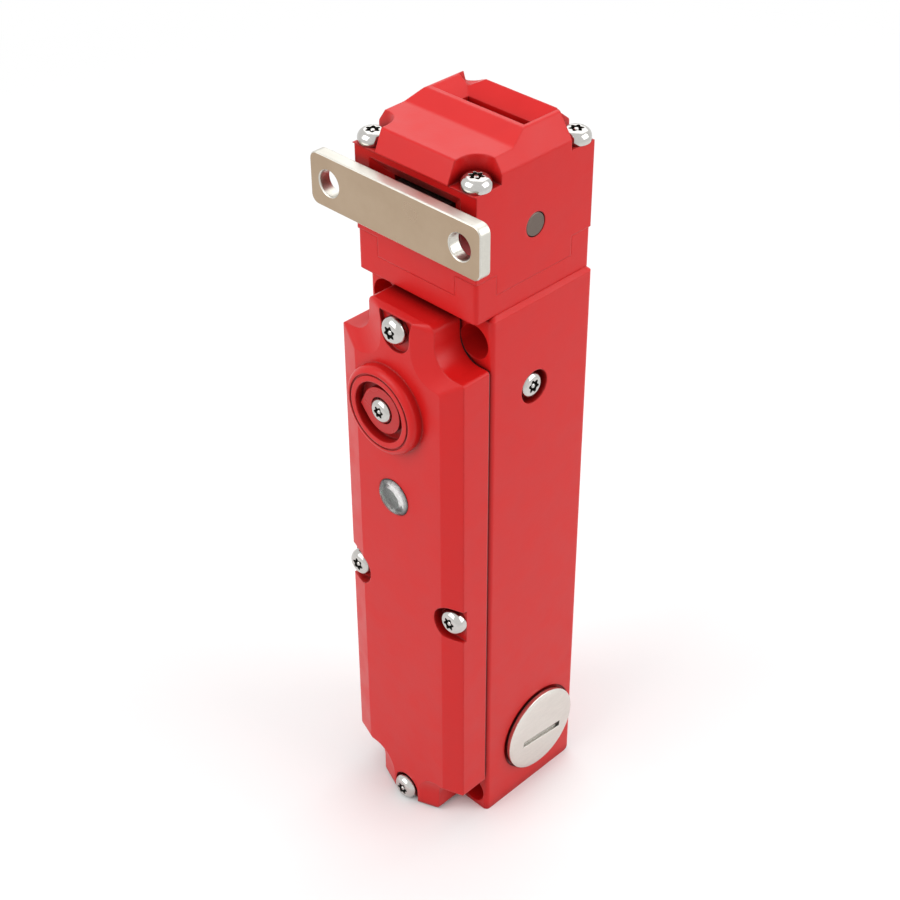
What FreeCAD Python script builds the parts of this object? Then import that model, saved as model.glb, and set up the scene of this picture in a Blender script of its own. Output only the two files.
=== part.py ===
# Tongue interlock switch: a guard-locking safety switch in a die-cast casing.
# X points right, Y points to the back, Z points up.  The origin is the middle of the
# bottom cable entry's mouth, on the base.  All sizes are in millimetres.
import FreeCAD, Part
import math
import os

V = FreeCAD.Vector
X_AXIS = V(1, 0, 0)
Z_AXIS = V(0, 0, 1)

# ---- Casing ------------------------------------------------------------------------------------
body_width = 39.0
body_depth = 33.2
body_height = 155.0
casing_wall = 3.0
casing_edge_radius = 1.2
casing_top_chamfer = 1.0
casing_foot_radius = 2.4
cavity_low = 15.5
cavity_high = 139.0
cavity_corner_radius = 3.0

# ---- Cable entries (M20) -----------------------------------------------------------------------
entry_radius = 10.0
entry_from_seam = 19.2
side_entry_height = 18.3
side_entry_depth = 6.5
side_entry_throat_radius = 8.0
spot_face_radius = 12.6
spot_face_depth = 0.5

# ---- Mounting holes (M5) -----------------------------------------------------------------------
mount_pitch_across = 28.0
mount_pitch_up = 142.0
mount_low = 5.2
mount_hole_radius = 2.65
mount_counterbore_radius = 4.25
mount_counterbore_depth = 8.0

# ---- Front cover -------------------------------------------------------------------------------
cover_depth = 10.86
cover_side_depth = 8.9
cover_bevel_width = 5.7
cover_slope_drop = 4.0
cover_wall = 2.2
cover_low = 12.2
cover_high = 142.0
cover_corner_radius = 0.8
tab_half_width = 10.4
tab_crest_half_width = 4.8
tab_low = 0.3
tab_high = 153.2
tab_crest_drop = 0.7
tab_foot_radius = 1.5
tab_top_radius = 2.0
notch_radius = 6.0
crest_notch_radius = 7.2
gasket_thickness = 0.8
gasket_inset = 0.6

# ---- Cover screws (M4 pan head, six-lobe with pin) ---------------------------------------------
screw_head_radius = 3.5
screw_head_height = 2.9
screw_rim_height = 1.0
screw_shank_radius = 1.95
screw_recess_radius = 1.5
screw_recess_depth = 1.3
screw_seat_depth = 9.8
mid_screw_seat_depth = 7.9
mid_screw_inset = 3.3
mid_screw_height = 71.8
top_screw_height = 148.9
low_screw_height = 3.5
mid_screw_length = 18.0
low_screw_length = 16.0
top_screw_length = 13.0
screw_boss_radius = 4.0
mid_pocket_radius = 4.9
mid_pocket_drop = 0.5
top_pocket_half_width = 5.2
top_pocket_high = 152.5
top_pocket_radius = 4.4
top_pocket_low = 143.2
low_pocket_radius = 4.1

# ---- Head: a square turret on the casing, its axis through the plunger -------------------------
head_size = 37.0
head_axis_from_seam = 14.3
head_corner_radius = 1.0
base_plate_height = 5.0
base_block_height = 10.0
base_notch_width = 24.2
neck_radius = 10.0
neck_length = 19.0
neck_bore_radius = 7.0
neck_groove_depth = 1.0
neck_ring_thickness = 1.2
neck_ring_width = 2.2
head_wall_height = 23.8
head_flank_rise = 2.8
head_ridge_rise = 2.8
ridge_half_width = 14.7
lip_overhang = 1.0
lip_drop = 5.6
lip_top_setback = 1.2
plateau_back = -5.3
ridge_front = -0.4
ridge_back = 11.7
head_screw_inset = 2.9
head_screw_seat_drop = 5.3
head_scoop_radius = 4.6
head_screw_length = 30.0

# ---- Cam, its axle and the two tongue slots ----------------------------------------------------
cam_height = 172.7
cam_radius = 9.2
cam_half_width = 3.0
cam_hub_radius = 3.6
cam_hub_half_width = 9.2
cam_chamber_radius = 10.0
cam_chamber_half_width = 9.6
axle_radius = 2.95
cam_turn_degrees = 80.0
cam_floor = 3.6
cam_back_wall = 2.3
cam_catch_wall = -7.4
cam_catch_top = 4.8
slot_offset = 5.4
slot_thickness = 4.4
slot_half_width = 9.3
funnel_depth = 3.2
funnel_spread_far = 3.9
funnel_spread_near = 2.5
funnel_spread_side = 4.6
funnel_notch_reach = 5.0
funnel_notch_width = 6.8
funnel_notch_depth = 2.0

# ---- Actuator: a steel bar with a tongue welded to its back ------------------------------------
bar_length = 52.0
bar_height = 12.8
bar_thickness = 3.2
bar_corner_radius = 2.2
bar_gap = 3.4
bar_end_distance = 6.0
bar_hole_radius = 3.1
bar_drop = 0.3
bar_edge_chamfer = 0.25
tongue_thickness = 3.0
tongue_half_width = 8.0
tongue_tip = 2.0
tongue_bridge = 7.2
tongue_window_half_width = 3.6
tongue_window_length = 6.0
tongue_tip_radius = 1.5

# ---- Plunger, its spring and the lock collar ---------------------------------------------------
plunger_radius = 2.5
plunger_stroke = 4.0
plunger_low_gap = 2.0
plunger_gap = 0.5
collar_radius = 5.0
collar_thickness = 1.2
collar_height = 118.8
spring_seat_height = 76.0
spring_cap_height = 100.0
spring_cap_thickness = 1.6
plunger_spring_radius = 4.0
plunger_spring_wire = 0.45
plunger_spring_turns = 5
bush_flange_radius = 6.4
bush_flange_thickness = 1.2

# ---- Chassis, solenoid and lock lever ----------------------------------------------------------
chassis_thickness = 1.5
chassis_half_width = 13.5
chassis_low = 66.0
chassis_high = 136.0
chassis_screw_inset = 5.2
chassis_screw_rise = 32.0
chassis_screw_drop = 9.0
chassis_screw_length = 3.3
shelf_half_width = 8.0
shelf_reach = 3.0
cheek_thickness = 1.5
cheek_front = 3.0
cheek_low = 112.0
cheek_slope_run = 8.0
cheek_slope_rise = 9.0
solenoid_front = -5.6
solenoid_back = 8.8
solenoid_low = 66.0
solenoid_high = 111.0
yoke_thickness = 2.0
yoke_side_gap = 1.0
yoke_foot_rise = 4.0
yoke_foot_height = 20.0
coil_radius = 6.8
bobbin_tube_radius = 4.4
bobbin_flange_thickness = 1.6
armature_radius = 4.0
armature_length = 35.2
armature_stem_radius = 1.4
armature_head_radius = 3.2
armature_head_thickness = 1.6
armature_groove = 4.0
stop_plug_length = 9.0
armature_spring_radius = 2.5
armature_spring_wire = 0.3
armature_spring_turns = 3
lever_pivot_from_seam = 7.6
lever_pivot_height = 129.0
fork_thickness = 2.0
fork_width = 2.2
lever_turn_degrees = 14.0
lever_pin_radius = 1.5
pawl_thickness = 2.2
pawl_width = 8.0
pawl_arm_front = 0.8
pawl_arm_back = 1.2

# ---- Manual release in the cover ---------------------------------------------------------------
release_x = -3.0
release_height = 126.7
release_boss_radius = 11.3
release_boss_height = 3.1
release_boss_edge = 1.5
release_recess_radius = 7.75
release_recess_depth = 2.6
release_ring_radius = 9.7
release_ring_width = 0.5
release_ring_depth = 0.4
release_knob_radius = 5.9
release_knob_height = 1.55
release_beak_reach = 7.1
release_beak_turn = 188.0
release_shaft_radius = 3.5
release_shaft_length = 6.7
release_eccentric = 2.0
release_peg_radius = 1.2
release_peg_length = 2.0
release_screw_radius = 3.1
release_screw_height = 2.0
release_screw_sink = 0.9
release_screw_shank_radius = 1.5
release_screw_length = 4.2
release_clip_radius = 5.2
release_clip_thickness = 0.8
release_groove_depth = 0.7

# ---- Indicator ---------------------------------------------------------------------------------
lens_x = -2.0
lens_height = 101.0
lens_radius = 4.9
lens_stem_radius = 3.9
lens_flange = 0.9
lens_dome = 1.5
board_width = 22.0
board_height = 16.0
board_thickness = 1.0
board_gap = 0.3
led_radius = 1.5
led_height = 0.8
post_radius = 1.6
post_half_pitch = 8.4

# ---- Side access screws and conduit plugs ------------------------------------------------------
access_height = 130.9
access_bore_radius = 4.3
access_bore_depth = 3.0
access_boss_radius = 6.0
access_boss_length = 2.7
access_shank_length = 2.9
plug_head_radius = 12.1
plug_head_thickness = 1.6
plug_seal_thickness = 0.9
plug_shank_length = 6.0
plug_bore_radius = 7.0
plug_slot_width = 1.8
plug_slot_length = 14.4
plug_slot_lean = 7.0
plug_slot_drop = 1.8
plug_slot_depth = 0.8

# ---- Contact blocks ----------------------------------------------------------------------------
block_width = 26.0
block_depth = 22.0
block_low = 33.0
block_wall = 1.6
block_step_depth = 9.0
block_screw_inset = 3.2
block_screw_rise = 2.6
block_screw_length = 10.8
block_screw_head_radius = 2.8
block_screw_head_height = 1.6
block_step_gap = 0.1
bridge_width = 16.0
bridge_thickness = 1.0
bridge_depth = 4.0
bridge_drop = 6.4
strip_headroom = 5.6
strip_reach = 3.0
terminal_tab_drop = 2.4
contact_radius = 1.4
contact_height = 0.8
contact_half_pitch = 6.4
contact_strip_width = 4.0
well_half_width = 9.0
terminal_x = 11.1
terminal_drop = 4.4
contact_strip_thickness = 1.0
terminal_screw_radius = 1.8
terminal_screw_height = 1.2
terminal_shank_radius = 1.0
terminal_shank_length = 5.0
terminal_slot_width = 0.5
earth_screw_height = 28.0
earth_screw_inset = 6.0
earth_screw_length = 1.9
pan_head_radius = 3.2
pan_head_height = 1.8

# ---- Clearances --------------------------------------------------------------------------------
run_gap = 0.30
shaft_gap = 0.05
screw_gap = 0.05
clearance_gap = 0.30

# ---- Sizes that follow from the ones above -----------------------------------------------------
seam_y = -entry_from_seam
back_y = seam_y + body_depth
cover_y = seam_y - cover_depth
head_y = seam_y + head_axis_from_seam
half_body = body_width / 2
mid_screw_half_pitch = half_body - mid_screw_inset
half_head = head_size / 2
mount_x = mount_pitch_across / 2
mount_high = mount_low + mount_pitch_up
base_top = body_height + base_plate_height
block_top = body_height + base_block_height
shoulder_height = block_top + head_wall_height
plateau_height = shoulder_height + head_flank_rise
ridge_height = plateau_height + head_ridge_rise
lip_low = plateau_height - lip_drop
head_screw_seat = plateau_height - head_screw_seat_drop
head_screw_pitch = half_head - head_screw_inset
inner_back = back_y - casing_wall
cavity_half = half_body - casing_wall
seat_y = seam_y - screw_seat_depth
mid_seat_y = seam_y - mid_screw_seat_depth
edge_y = seam_y - cover_side_depth
slot_low = cam_height + slot_offset - slot_thickness / 2
slot_high = slot_low + slot_thickness
tongue_middle = cam_height + slot_offset
bar_back = head_y - half_head - bar_gap
bar_front = bar_back - bar_thickness
lever_y = seam_y + lever_pivot_from_seam
armature_y = seam_y + (solenoid_front + solenoid_back) / 2
lever_reach = lever_y - armature_y
armature_travel = 2 * lever_reach * math.sin(math.radians(lever_turn_degrees / 2))
armature_neck_height = lever_pivot_height + (armature_travel - armature_groove) / 2
knob_y = cover_y - release_boss_height
step_top = block_low + block_screw_rise + block_screw_head_radius + block_step_gap
well_floor = step_top + block_wall
bridge_height = well_floor + bridge_drop
strip_low = bridge_height + bridge_thickness + 2 * contact_height + run_gap
block_high = strip_low + contact_strip_thickness + strip_headroom
plunger_low = block_high + plunger_low_gap


# ---- Drawing helpers ---------------------------------------------------------------------------

def front_plane(y):
    """Places (x, z) points on an upright plane that faces the front."""
    return lambda u, v: V(u, y, v)


def side_plane(x):
    """Places (y, z) points on an upright plane that faces the side."""
    return lambda u, v: V(x, u, v)


def level_plane(z):
    """Places (x, y) points on a level plane."""
    return lambda u, v: V(u, v, z)


def rounded_wire(corners, place):
    """A closed wire through corners (u, v, radius), each corner rounded by an arc."""
    ends = []
    count = len(corners)
    for i in range(count):
        u, v, radius = corners[i]
        before = corners[i - 1]
        after = corners[(i + 1) % count]
        here = V(u, v, 0)
        back = (V(before[0], before[1], 0) - here).normalize()
        ahead = (V(after[0], after[1], 0) - here).normalize()
        half = back.getAngle(ahead) / 2
        if radius <= 0:
            ends.append((here, None, here))
            continue
        reach = radius / math.tan(half)
        middle = (back + ahead).normalize() * (radius / math.sin(half) - radius)
        ends.append((here + back * reach, here + middle, here + ahead * reach))
    edges = []
    for i in range(count):
        start, middle, end = ends[i]
        if middle is not None:
            arc = Part.Arc(place(start.x, start.y), place(middle.x, middle.y), place(end.x, end.y))
            edges.append(arc.toShape())
        following = ends[(i + 1) % count][0]
        if (following - end).Length > 1e-6:
            edges.append(Part.LineSegment(place(end.x, end.y), place(following.x, following.y)).toShape())
    return Part.Wire(edges)


def plain(points):
    """Corners with no rounding."""
    return [(u, v, 0) for u, v in points]


def rectangle(u0, u1, v0, v1, radius=0):
    """The four corners of a rectangle, each with the same radius."""
    return [(u0, v0, radius), (u1, v0, radius), (u1, v1, radius), (u0, v1, radius)]


def slab_y(corners, y0, y1):
    """A slab cut to an (x, z) outline, from y0 to y1."""
    return Part.Face(rounded_wire(corners, front_plane(y0))).extrude(V(0, y1 - y0, 0))


def slab_x(corners, x0, x1):
    """A slab cut to a (y, z) outline, from x0 to x1."""
    return Part.Face(rounded_wire(corners, side_plane(x0))).extrude(V(x1 - x0, 0, 0))


def slab_z(corners, z0, z1):
    """A slab cut to an (x, y) outline, from z0 to z1."""
    return Part.Face(rounded_wire(corners, level_plane(z0))).extrude(V(0, 0, z1 - z0))


def block(x0, x1, y0, y1, z0, z1):
    """A plain rectangular block between two corners."""
    return Part.makeBox(x1 - x0, y1 - y0, z1 - z0, V(x0, y0, z0))


def rod(radius, start, end):
    """A round rod from one point to another."""
    along = end - start
    return Part.makeCylinder(radius, along.Length, start, along)


def ring(outer, inner, start, end):
    """A round tube from one point to another."""
    return rod(outer, start, end).cut(rod(inner, start, end))


def turned(profile, origin, axis):
    """A solid of revolution: (radius, height) points turned about an axis through origin."""
    wire = rounded_wire(plain(profile), side_plane(0))
    solid = Part.Face(wire).revolve(V(0, 0, 0), Z_AXIS, 360)
    solid.Placement = FreeCAD.Placement(origin, FreeCAD.Rotation(Z_AXIS, axis))
    return solid


def joined(shapes):
    """Several shapes fused into one, with split faces healed."""
    result = shapes[0]
    if len(shapes) > 1:
        result = result.fuse(shapes[1:])
    return result.removeSplitter()


def mirrored_x(shape):
    """The shape's mirror image on the other side of the middle plane."""
    return shape.mirror(V(0, 0, 0), X_AXIS)


def spring(radius, wire, turns, x, y, z0, z1):
    """A helical spring of six-sided wire that reaches from one level to another."""
    low = z0 + wire + 0.02
    high = z1 - wire - 0.02
    helix = Part.makeHelix((high - low) / turns, high - low, radius)
    helix.translate(V(0, 0, low))
    corners = []
    for k in range(7):
        turn = math.radians(60 * k + 30)
        corners.append(V(radius + wire * math.cos(turn), 0, low + wire * math.sin(turn)))
    coil = Part.Wire(helix).makePipeShell([Part.makePolygon(corners)], True, True)
    coil.translate(V(x, y, 0))
    return coil


def domed_screw(seat, axis, length, head_radius, head_height, shank_radius):
    """A pan-head screw with a domed crown and a round recess; axis points out of the seat."""
    rise = screw_rim_height * head_height / screw_head_height
    floor = head_height - screw_recess_depth
    profile = [(0, -length), (shank_radius, -length), (shank_radius, 0), (head_radius, 0),
               (head_radius, rise)]
    for turn in (25, 50):
        angle = math.radians(turn)
        profile.append((screw_recess_radius + (head_radius - screw_recess_radius) * math.cos(angle),
                        rise + (head_height - rise) * math.sin(angle)))
    profile += [(screw_recess_radius, head_height), (screw_recess_radius, floor), (0, floor)]
    return turned(profile, seat, axis)


# ---- Casing ------------------------------------------------------------------------------------

def entry_bore(side):
    """The threaded side entry, its shallow spot face and the throat into the casing."""
    mouth = V(side * half_body, 0, side_entry_height)
    inward = V(-side, 0, 0)
    bore = rod(entry_radius, mouth, mouth + inward * side_entry_depth)
    throat = rod(side_entry_throat_radius, mouth, mouth + inward * (half_body - entry_radius / 2))
    spot = rod(spot_face_radius, mouth, mouth + inward * spot_face_depth)
    return joined([bore, throat, spot])


def casing_outer():
    """The cast box with its rounded long edges and bevelled top."""
    corners = rectangle(-half_body, half_body, seam_y, back_y, casing_edge_radius)
    box = slab_z(corners, 0, body_height - casing_top_chamfer)
    inner = casing_edge_radius
    lower = rounded_wire(corners, level_plane(body_height - casing_top_chamfer))
    c = casing_top_chamfer
    top = rectangle(-half_body + c, half_body - c, seam_y + c, back_y - c, inner)
    upper = rounded_wire(top, level_plane(body_height))
    side = [(seam_y, 0, 0), (back_y, 0, casing_foot_radius), (back_y, body_height, 0),
            (seam_y, body_height, 0)]
    form = box.fuse(Part.makeLoft([lower, upper], True, True))
    return form.common(slab_x(side, -half_body, half_body))


def mid_boss(side, y0, y1):
    """The column beside the wall that takes a cover screw at mid height."""
    start = V(side * mid_screw_half_pitch, y0, mid_screw_height)
    return rod(screw_boss_radius, start, start + V(0, y1 - y0, 0))


def body_casing():
    """The lower casting: open at the front, with three cable entries and four mounting holes."""
    shell = casing_outer()
    cavity = rectangle(-cavity_half, cavity_half, cavity_low, cavity_high, cavity_corner_radius)
    shell = shell.cut(slab_y(cavity, seam_y - 1, inner_back))
    envelope = casing_outer()
    bosses = []
    for side in (-1, 1):
        bosses.append(mid_boss(side, seam_y, mid_seat_y + mid_screw_length + casing_wall))
        wall = V(side * (cavity_half + 1), head_y, access_height)
        bosses.append(rod(access_boss_radius, wall, wall - V(side * (access_boss_length + 1), 0, 0)))
    shell = shell.fuse([boss.common(envelope) for boss in bosses])
    cuts = [rod(entry_radius, V(0, 0, -1), V(0, 0, cavity_low + 1))]
    for side in (-1, 1):
        cuts.append(entry_bore(side))
        for z in (mount_low, mount_high):
            front = V(side * mount_x, seam_y - 1, z)
            cuts.append(rod(mount_hole_radius, front, front + V(0, body_depth + 2, 0)))
            cuts.append(rod(mount_counterbore_radius, front, front + V(0, mount_counterbore_depth + 1, 0)))
        outside = V(side * (half_body + 1), head_y, access_height)
        cuts.append(rod(access_bore_radius, outside, outside - V(side * (access_bore_depth + 1), 0, 0)))
        through = casing_wall + access_boss_length + 2
        cuts.append(rod(screw_shank_radius + screw_gap, outside, outside - V(side * through, 0, 0)))
    for x, z, seat, length in cover_screw_places():
        start = V(x, seam_y - 1, z)
        end = V(x, seat + length + clearance_gap, z)
        cuts.append(rod(screw_shank_radius + screw_gap, start, end))
    neck = V(0, head_y, body_height + 1)
    cuts.append(rod(neck_radius + shaft_gap, neck, V(0, head_y, cavity_high - 1)))
    cuts.append(chassis_screw_holes(screw_shank_radius + screw_gap, inner_back - 1, back_y - 1))
    cuts.append(block_screw_holes(screw_shank_radius + screw_gap, inner_back - 1, back_y - 1))
    earth = V(-cavity_half + earth_screw_inset, inner_back - 1, earth_screw_height)
    cuts.append(rod(screw_shank_radius + screw_gap, earth, earth + V(0, casing_wall, 0)))
    return shell.cut(cuts).removeSplitter()


# ---- Cover -------------------------------------------------------------------------------------

def cover_edge(inset=0.0):
    """The cover's outline where its upright sides end: a wide middle with a tab at each end."""
    wide = half_body - inset
    narrow = tab_half_width - inset
    low = cover_low + inset
    high = cover_high - inset
    bottom = tab_low + inset
    top = tab_high - inset
    r = notch_radius + inset
    c = cover_corner_radius
    return [(-narrow, bottom, tab_foot_radius), (narrow, bottom, tab_foot_radius), (narrow, low, r),
            (wide, low, c), (wide, high, c), (narrow, high, r), (narrow, top, tab_top_radius),
            (-narrow, top, tab_top_radius), (-narrow, high, r), (-wide, high, c), (-wide, low, c),
            (-narrow, low, r)]


def cover_crest():
    """The outline of the cover's flat front face, inside the bevels."""
    wide = half_body - cover_bevel_width
    narrow = tab_crest_half_width
    high = cover_high - cover_slope_drop
    top = tab_high - tab_crest_drop
    r = crest_notch_radius
    c = cover_corner_radius
    return [(-narrow, tab_low, c), (narrow, tab_low, c), (narrow, cover_low, r), (wide, cover_low, c),
            (wide, high, c), (narrow, high, r), (narrow, top, c), (-narrow, top, c), (-narrow, high, r),
            (-wide, high, c), (-wide, cover_low, c), (-narrow, cover_low, r)]


def cover_form():
    """The cover's solid form: upright sides, then bevels that draw in to the front face."""
    sides = slab_y(cover_edge(), edge_y, seam_y - gasket_thickness)
    outlines = [rounded_wire(cover_edge(), front_plane(edge_y)),
                rounded_wire(cover_crest(), front_plane(cover_y))]
    return sides.fuse(Part.makeLoft(outlines, True, True))


def release_boss():
    """The round raised boss of the manual release, with a fine ring groove in its face."""
    foot = V(release_x, cover_y + 1, release_height)
    face = V(release_x, knob_y, release_height)
    boss = rod(release_boss_radius, foot, face)
    boss = boss.makeFillet(release_boss_edge, [e for e in boss.Edges if abs(e.CenterOfMass.y - knob_y) < 1e-3])
    groove = ring(release_ring_radius, release_ring_radius - release_ring_width,
                  face - V(0, 1, 0), face + V(0, release_ring_depth, 0))
    return boss.cut(groove)


def top_pocket():
    """The pocket round the top screw: straight above, narrowing to a round bottom."""
    w = top_pocket_half_width
    r = top_pocket_radius
    corners = [(-w, top_pocket_high, 0.4), (-r, top_pocket_low + 1.4 * r, 0.4), (-r, top_pocket_low, r - 0.1),
               (r, top_pocket_low, r - 0.1), (r, top_pocket_low + 1.4 * r, 0.4), (w, top_pocket_high, 0.4)]
    return slab_y(corners, seat_y - screw_head_height, seat_y)


def low_pocket():
    """The pocket round the bottom screw, open downward."""
    r = low_pocket_radius
    z = low_screw_height
    corners = [(-r, tab_low - 1, 0), (r, tab_low - 1, 0), (r, z + r, r - 0.1), (-r, z + r, r - 0.1)]
    return slab_y(corners, seat_y - screw_head_height, seat_y)


def mid_pocket(side):
    """The round pocket of a side screw, open to the side."""
    z = mid_screw_height - mid_pocket_drop
    r = mid_pocket_radius
    inner = side * (mid_screw_half_pitch - r)
    outer = side * (half_body + 2)
    corners = [(inner, z - r, r - 0.1), (inner, z + r, r - 0.1), (outer, z + r, 0), (outer, z - r, 0)]
    return slab_y(corners, mid_seat_y - screw_head_height, mid_seat_y)


def front_cover():
    """The cast front cover with bevelled sides, screw tabs, release boss and lens hole."""
    shell = cover_form().fuse(release_boss())
    inside = half_body - cover_wall - cover_bevel_width / 2
    ceiling = cover_y + cover_wall
    low = cover_low + cover_wall + 1
    high = cover_high - cover_slope_drop - cover_wall
    pocket = rectangle(-inside, inside, low, high, cavity_corner_radius)
    shell = shell.cut(slab_y(pocket, ceiling, seam_y + 1))
    additions = []
    walls = slab_y(rectangle(-inside - 1, inside + 1, low, high), cover_y, seam_y)
    for side in (-1, 1):
        additions.append(mid_boss(side, ceiling - 0.5, seam_y - gasket_thickness).common(walls))
        pad = V(side * mid_screw_half_pitch, ceiling - 0.5, mid_screw_height - mid_pocket_drop)
        rear = V(pad.x, mid_seat_y + cover_wall, pad.z)
        additions.append(rod(mid_pocket_radius + cover_wall, pad, rear).common(walls))
        foot = V(lens_x + side * post_half_pitch, ceiling - 0.5, lens_height)
        additions.append(rod(post_radius, foot, V(foot.x, board_front(), foot.z)))
    shell = shell.fuse(additions)
    cuts = [top_pocket(), low_pocket(), mid_pocket(-1), mid_pocket(1)]
    for x, z, seat, length in cover_screw_places():
        start = V(x, seat - 1, z)
        cuts.append(rod(screw_shank_radius + clearance_gap, start, V(x, seam_y, z)))
    face = V(release_x, knob_y, release_height)
    cuts.append(rod(release_recess_radius, face - V(0, 1, 0), face + V(0, release_recess_depth, 0)))
    cuts.append(rod(release_shaft_radius + shaft_gap, face, V(release_x, seam_y, release_height)))
    lens = V(lens_x, cover_y, lens_height)
    cuts.append(rod(lens_stem_radius + shaft_gap, lens - V(0, 1, 0), lens + V(0, cover_wall + 1, 0)))
    cuts.append(rod(lens_radius + shaft_gap, lens - V(0, 1, 0), lens + V(0, lens_flange, 0)))
    return shell.cut(cuts).removeSplitter()


def cover_gasket():
    """The flat rubber gasket between the casing and the cover."""
    outer = cover_edge(gasket_inset)
    inner = rectangle(-cavity_half, cavity_half, cover_low + cavity_corner_radius,
                      cavity_high, cavity_corner_radius)
    sheet = slab_y(outer, seam_y - gasket_thickness, seam_y)
    sheet = sheet.cut(slab_y(inner, seam_y - 2, seam_y + 1))
    holes = []
    for x, z, seat, length in cover_screw_places():
        start = V(x, seam_y - 2, z)
        holes.append(rod(screw_shank_radius + clearance_gap, start, start + V(0, 4, 0)))
    for side in (-1, 1):
        pad = V(side * mid_screw_half_pitch, seam_y - gasket_thickness, mid_screw_height)
        patch = rod(screw_boss_radius - 0.4, pad, pad + V(0, gasket_thickness, 0))
        sheet = sheet.fuse(patch.common(slab_y(outer, seam_y - gasket_thickness, seam_y)))
    return sheet.cut(holes).removeSplitter()


def cover_screw_places():
    """The four cover screws, each as x, z, the depth y of its seat, and its length."""
    return [(0, top_screw_height, seat_y, top_screw_length),
            (0, low_screw_height, seat_y, low_screw_length),
            (-mid_screw_half_pitch, mid_screw_height, mid_seat_y, mid_screw_length),
            (mid_screw_half_pitch, mid_screw_height, mid_seat_y, mid_screw_length)]


def cover_screws():
    """The four domed screws that hold the cover."""
    screws = []
    for x, z, seat, length in cover_screw_places():
        screws.append(domed_screw(V(x, seat, z), V(0, -1, 0), length, screw_head_radius, screw_head_height,
                                  screw_shank_radius))
    return Part.makeCompound(screws)


# ---- Head --------------------------------------------------------------------------------------

def head_corners(shape_maker):
    """Calls shape_maker for each of the head's four corner screws."""
    places = []
    for sx in (-1, 1):
        for sy in (-1, 1):
            places.append(shape_maker(sx * head_screw_pitch, head_y + sy * head_screw_pitch))
    return places


def base_blocks():
    """The four raised corner blocks of the head base, which key into the housing."""
    size = (head_size - base_notch_width) / 2
    blocks = []
    for sx in (-1, 1):
        for sy in (-1, 1):
            x = sorted((sx * half_head, sx * (half_head - size)))
            y = sorted((head_y + sy * half_head, head_y + sy * (half_head - size)))
            blocks.append(block(x[0], x[1], y[0], y[1], base_top - 0.5, block_top))
    return blocks


def square_prism(size, z0, z1, radius):
    """A square block about the head's axis."""
    h = size / 2
    return slab_z(rectangle(-h, h, head_y - h, head_y + h, radius), z0, z1)


def head_base():
    """The ring plate that keys the head in steps of a quarter turn, with its neck below."""
    plate = square_prism(head_size, body_height, base_top, head_corner_radius)
    raised = square_prism(head_size, base_top - 0.5, block_top, head_corner_radius)
    blocks = [item.common(raised) for item in base_blocks()]
    neck = rod(neck_radius, V(0, head_y, base_top), V(0, head_y, body_height - neck_length))
    base = joined([plate] + blocks + [neck])
    ring_low = cavity_high - run_gap - neck_ring_thickness
    groove = ring(neck_radius + 1, neck_radius - neck_groove_depth,
                  V(0, head_y, ring_low - 0.05), V(0, head_y, ring_low + neck_ring_thickness + 0.05))
    bore = rod(neck_bore_radius, V(0, head_y, body_height - neck_length - 1), V(0, head_y, base_top + 1))
    holes = head_corners(lambda x, y: rod(screw_shank_radius + screw_gap,
                                          V(x, y, head_screw_seat - head_screw_length - 0.5),
                                          V(x, y, block_top + 1)))
    return base.cut([groove, bore] + holes).removeSplitter()


def neck_ring():
    """The snap ring that holds the neck up from inside the casing."""
    low = cavity_high - run_gap - neck_ring_thickness
    inner = neck_radius - neck_groove_depth + 0.05
    band = ring(inner + neck_ring_width + neck_groove_depth, inner,
                V(0, head_y, low), V(0, head_y, low + neck_ring_thickness))
    gap = block(-1.5, 1.5, head_y, head_y + neck_radius + 5, low - 1, low + neck_ring_thickness + 1)
    return band.cut(gap)


def head_top_section():
    """The head seen from the side: lip, plateau, ramp, ridge and the slope down to the back."""
    front = head_y - half_head
    rear = head_y + half_head
    return [(front, base_top, 0), (front, lip_low, 0), (front - lip_overhang, lip_low + 0.4, 0.3),
            (front + lip_top_setback, plateau_height, 0.8), (head_y + plateau_back, plateau_height + 0.4, 2.0),
            (head_y + ridge_front, ridge_height, 0.8), (head_y + ridge_back, ridge_height, 0.6),
            (rear, shoulder_height, 1.0), (rear, base_top, 0)]


def head_front_section():
    """The head seen from the front: upright sides with sloped flanks up to the ridge."""
    return [(-half_head, base_top - 1, 0), (-half_head, shoulder_height, 1.5),
            (-ridge_half_width, ridge_height, 0.8), (ridge_half_width, ridge_height, 0.8),
            (half_head, shoulder_height, 1.5), (half_head, base_top - 1, 0)]


def funnel(mouth, throat):
    """A four-sided lead-in between two rectangles, each given as a wire."""
    return Part.makeLoft([mouth, throat], True, True)


def top_slot():
    """The slot for a tongue from above, with its lead-in."""
    y0 = head_y + slot_offset - slot_thickness / 2
    y1 = y0 + slot_thickness
    w = slot_half_width
    straight = block(-w, w, y0, y1, cam_height, ridge_height)
    throat_z = ridge_height - funnel_depth
    out = 1.0 + 0.1 / funnel_depth
    spread = funnel_spread_side * out
    mouth = rectangle(-w - spread, w + spread, y0 - funnel_spread_near * out, y1 + funnel_spread_far * out)
    throat = rectangle(-w, w, y0, y1)
    lead = funnel(rounded_wire(mouth, level_plane(ridge_height + 0.1)),
                  rounded_wire(throat, level_plane(throat_z)))
    return straight.fuse(lead)


def funnel_notch():
    """The low spot in the rear rim of the top lead-in, beside the rear left screw."""
    left = -slot_half_width - funnel_notch_reach
    right = left + funnel_notch_width
    floor = ridge_height - funnel_notch_depth
    corners = [(left, ridge_height + 0.1, 0), (left + 0.5, floor, 0.4), (left + 3.0, floor, 1.0),
               (right, ridge_height + 0.1, 0)]
    y = head_y + slot_offset + slot_thickness / 2
    return slab_y(corners, y + funnel_spread_far / 2, y + funnel_spread_far + 4)


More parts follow.
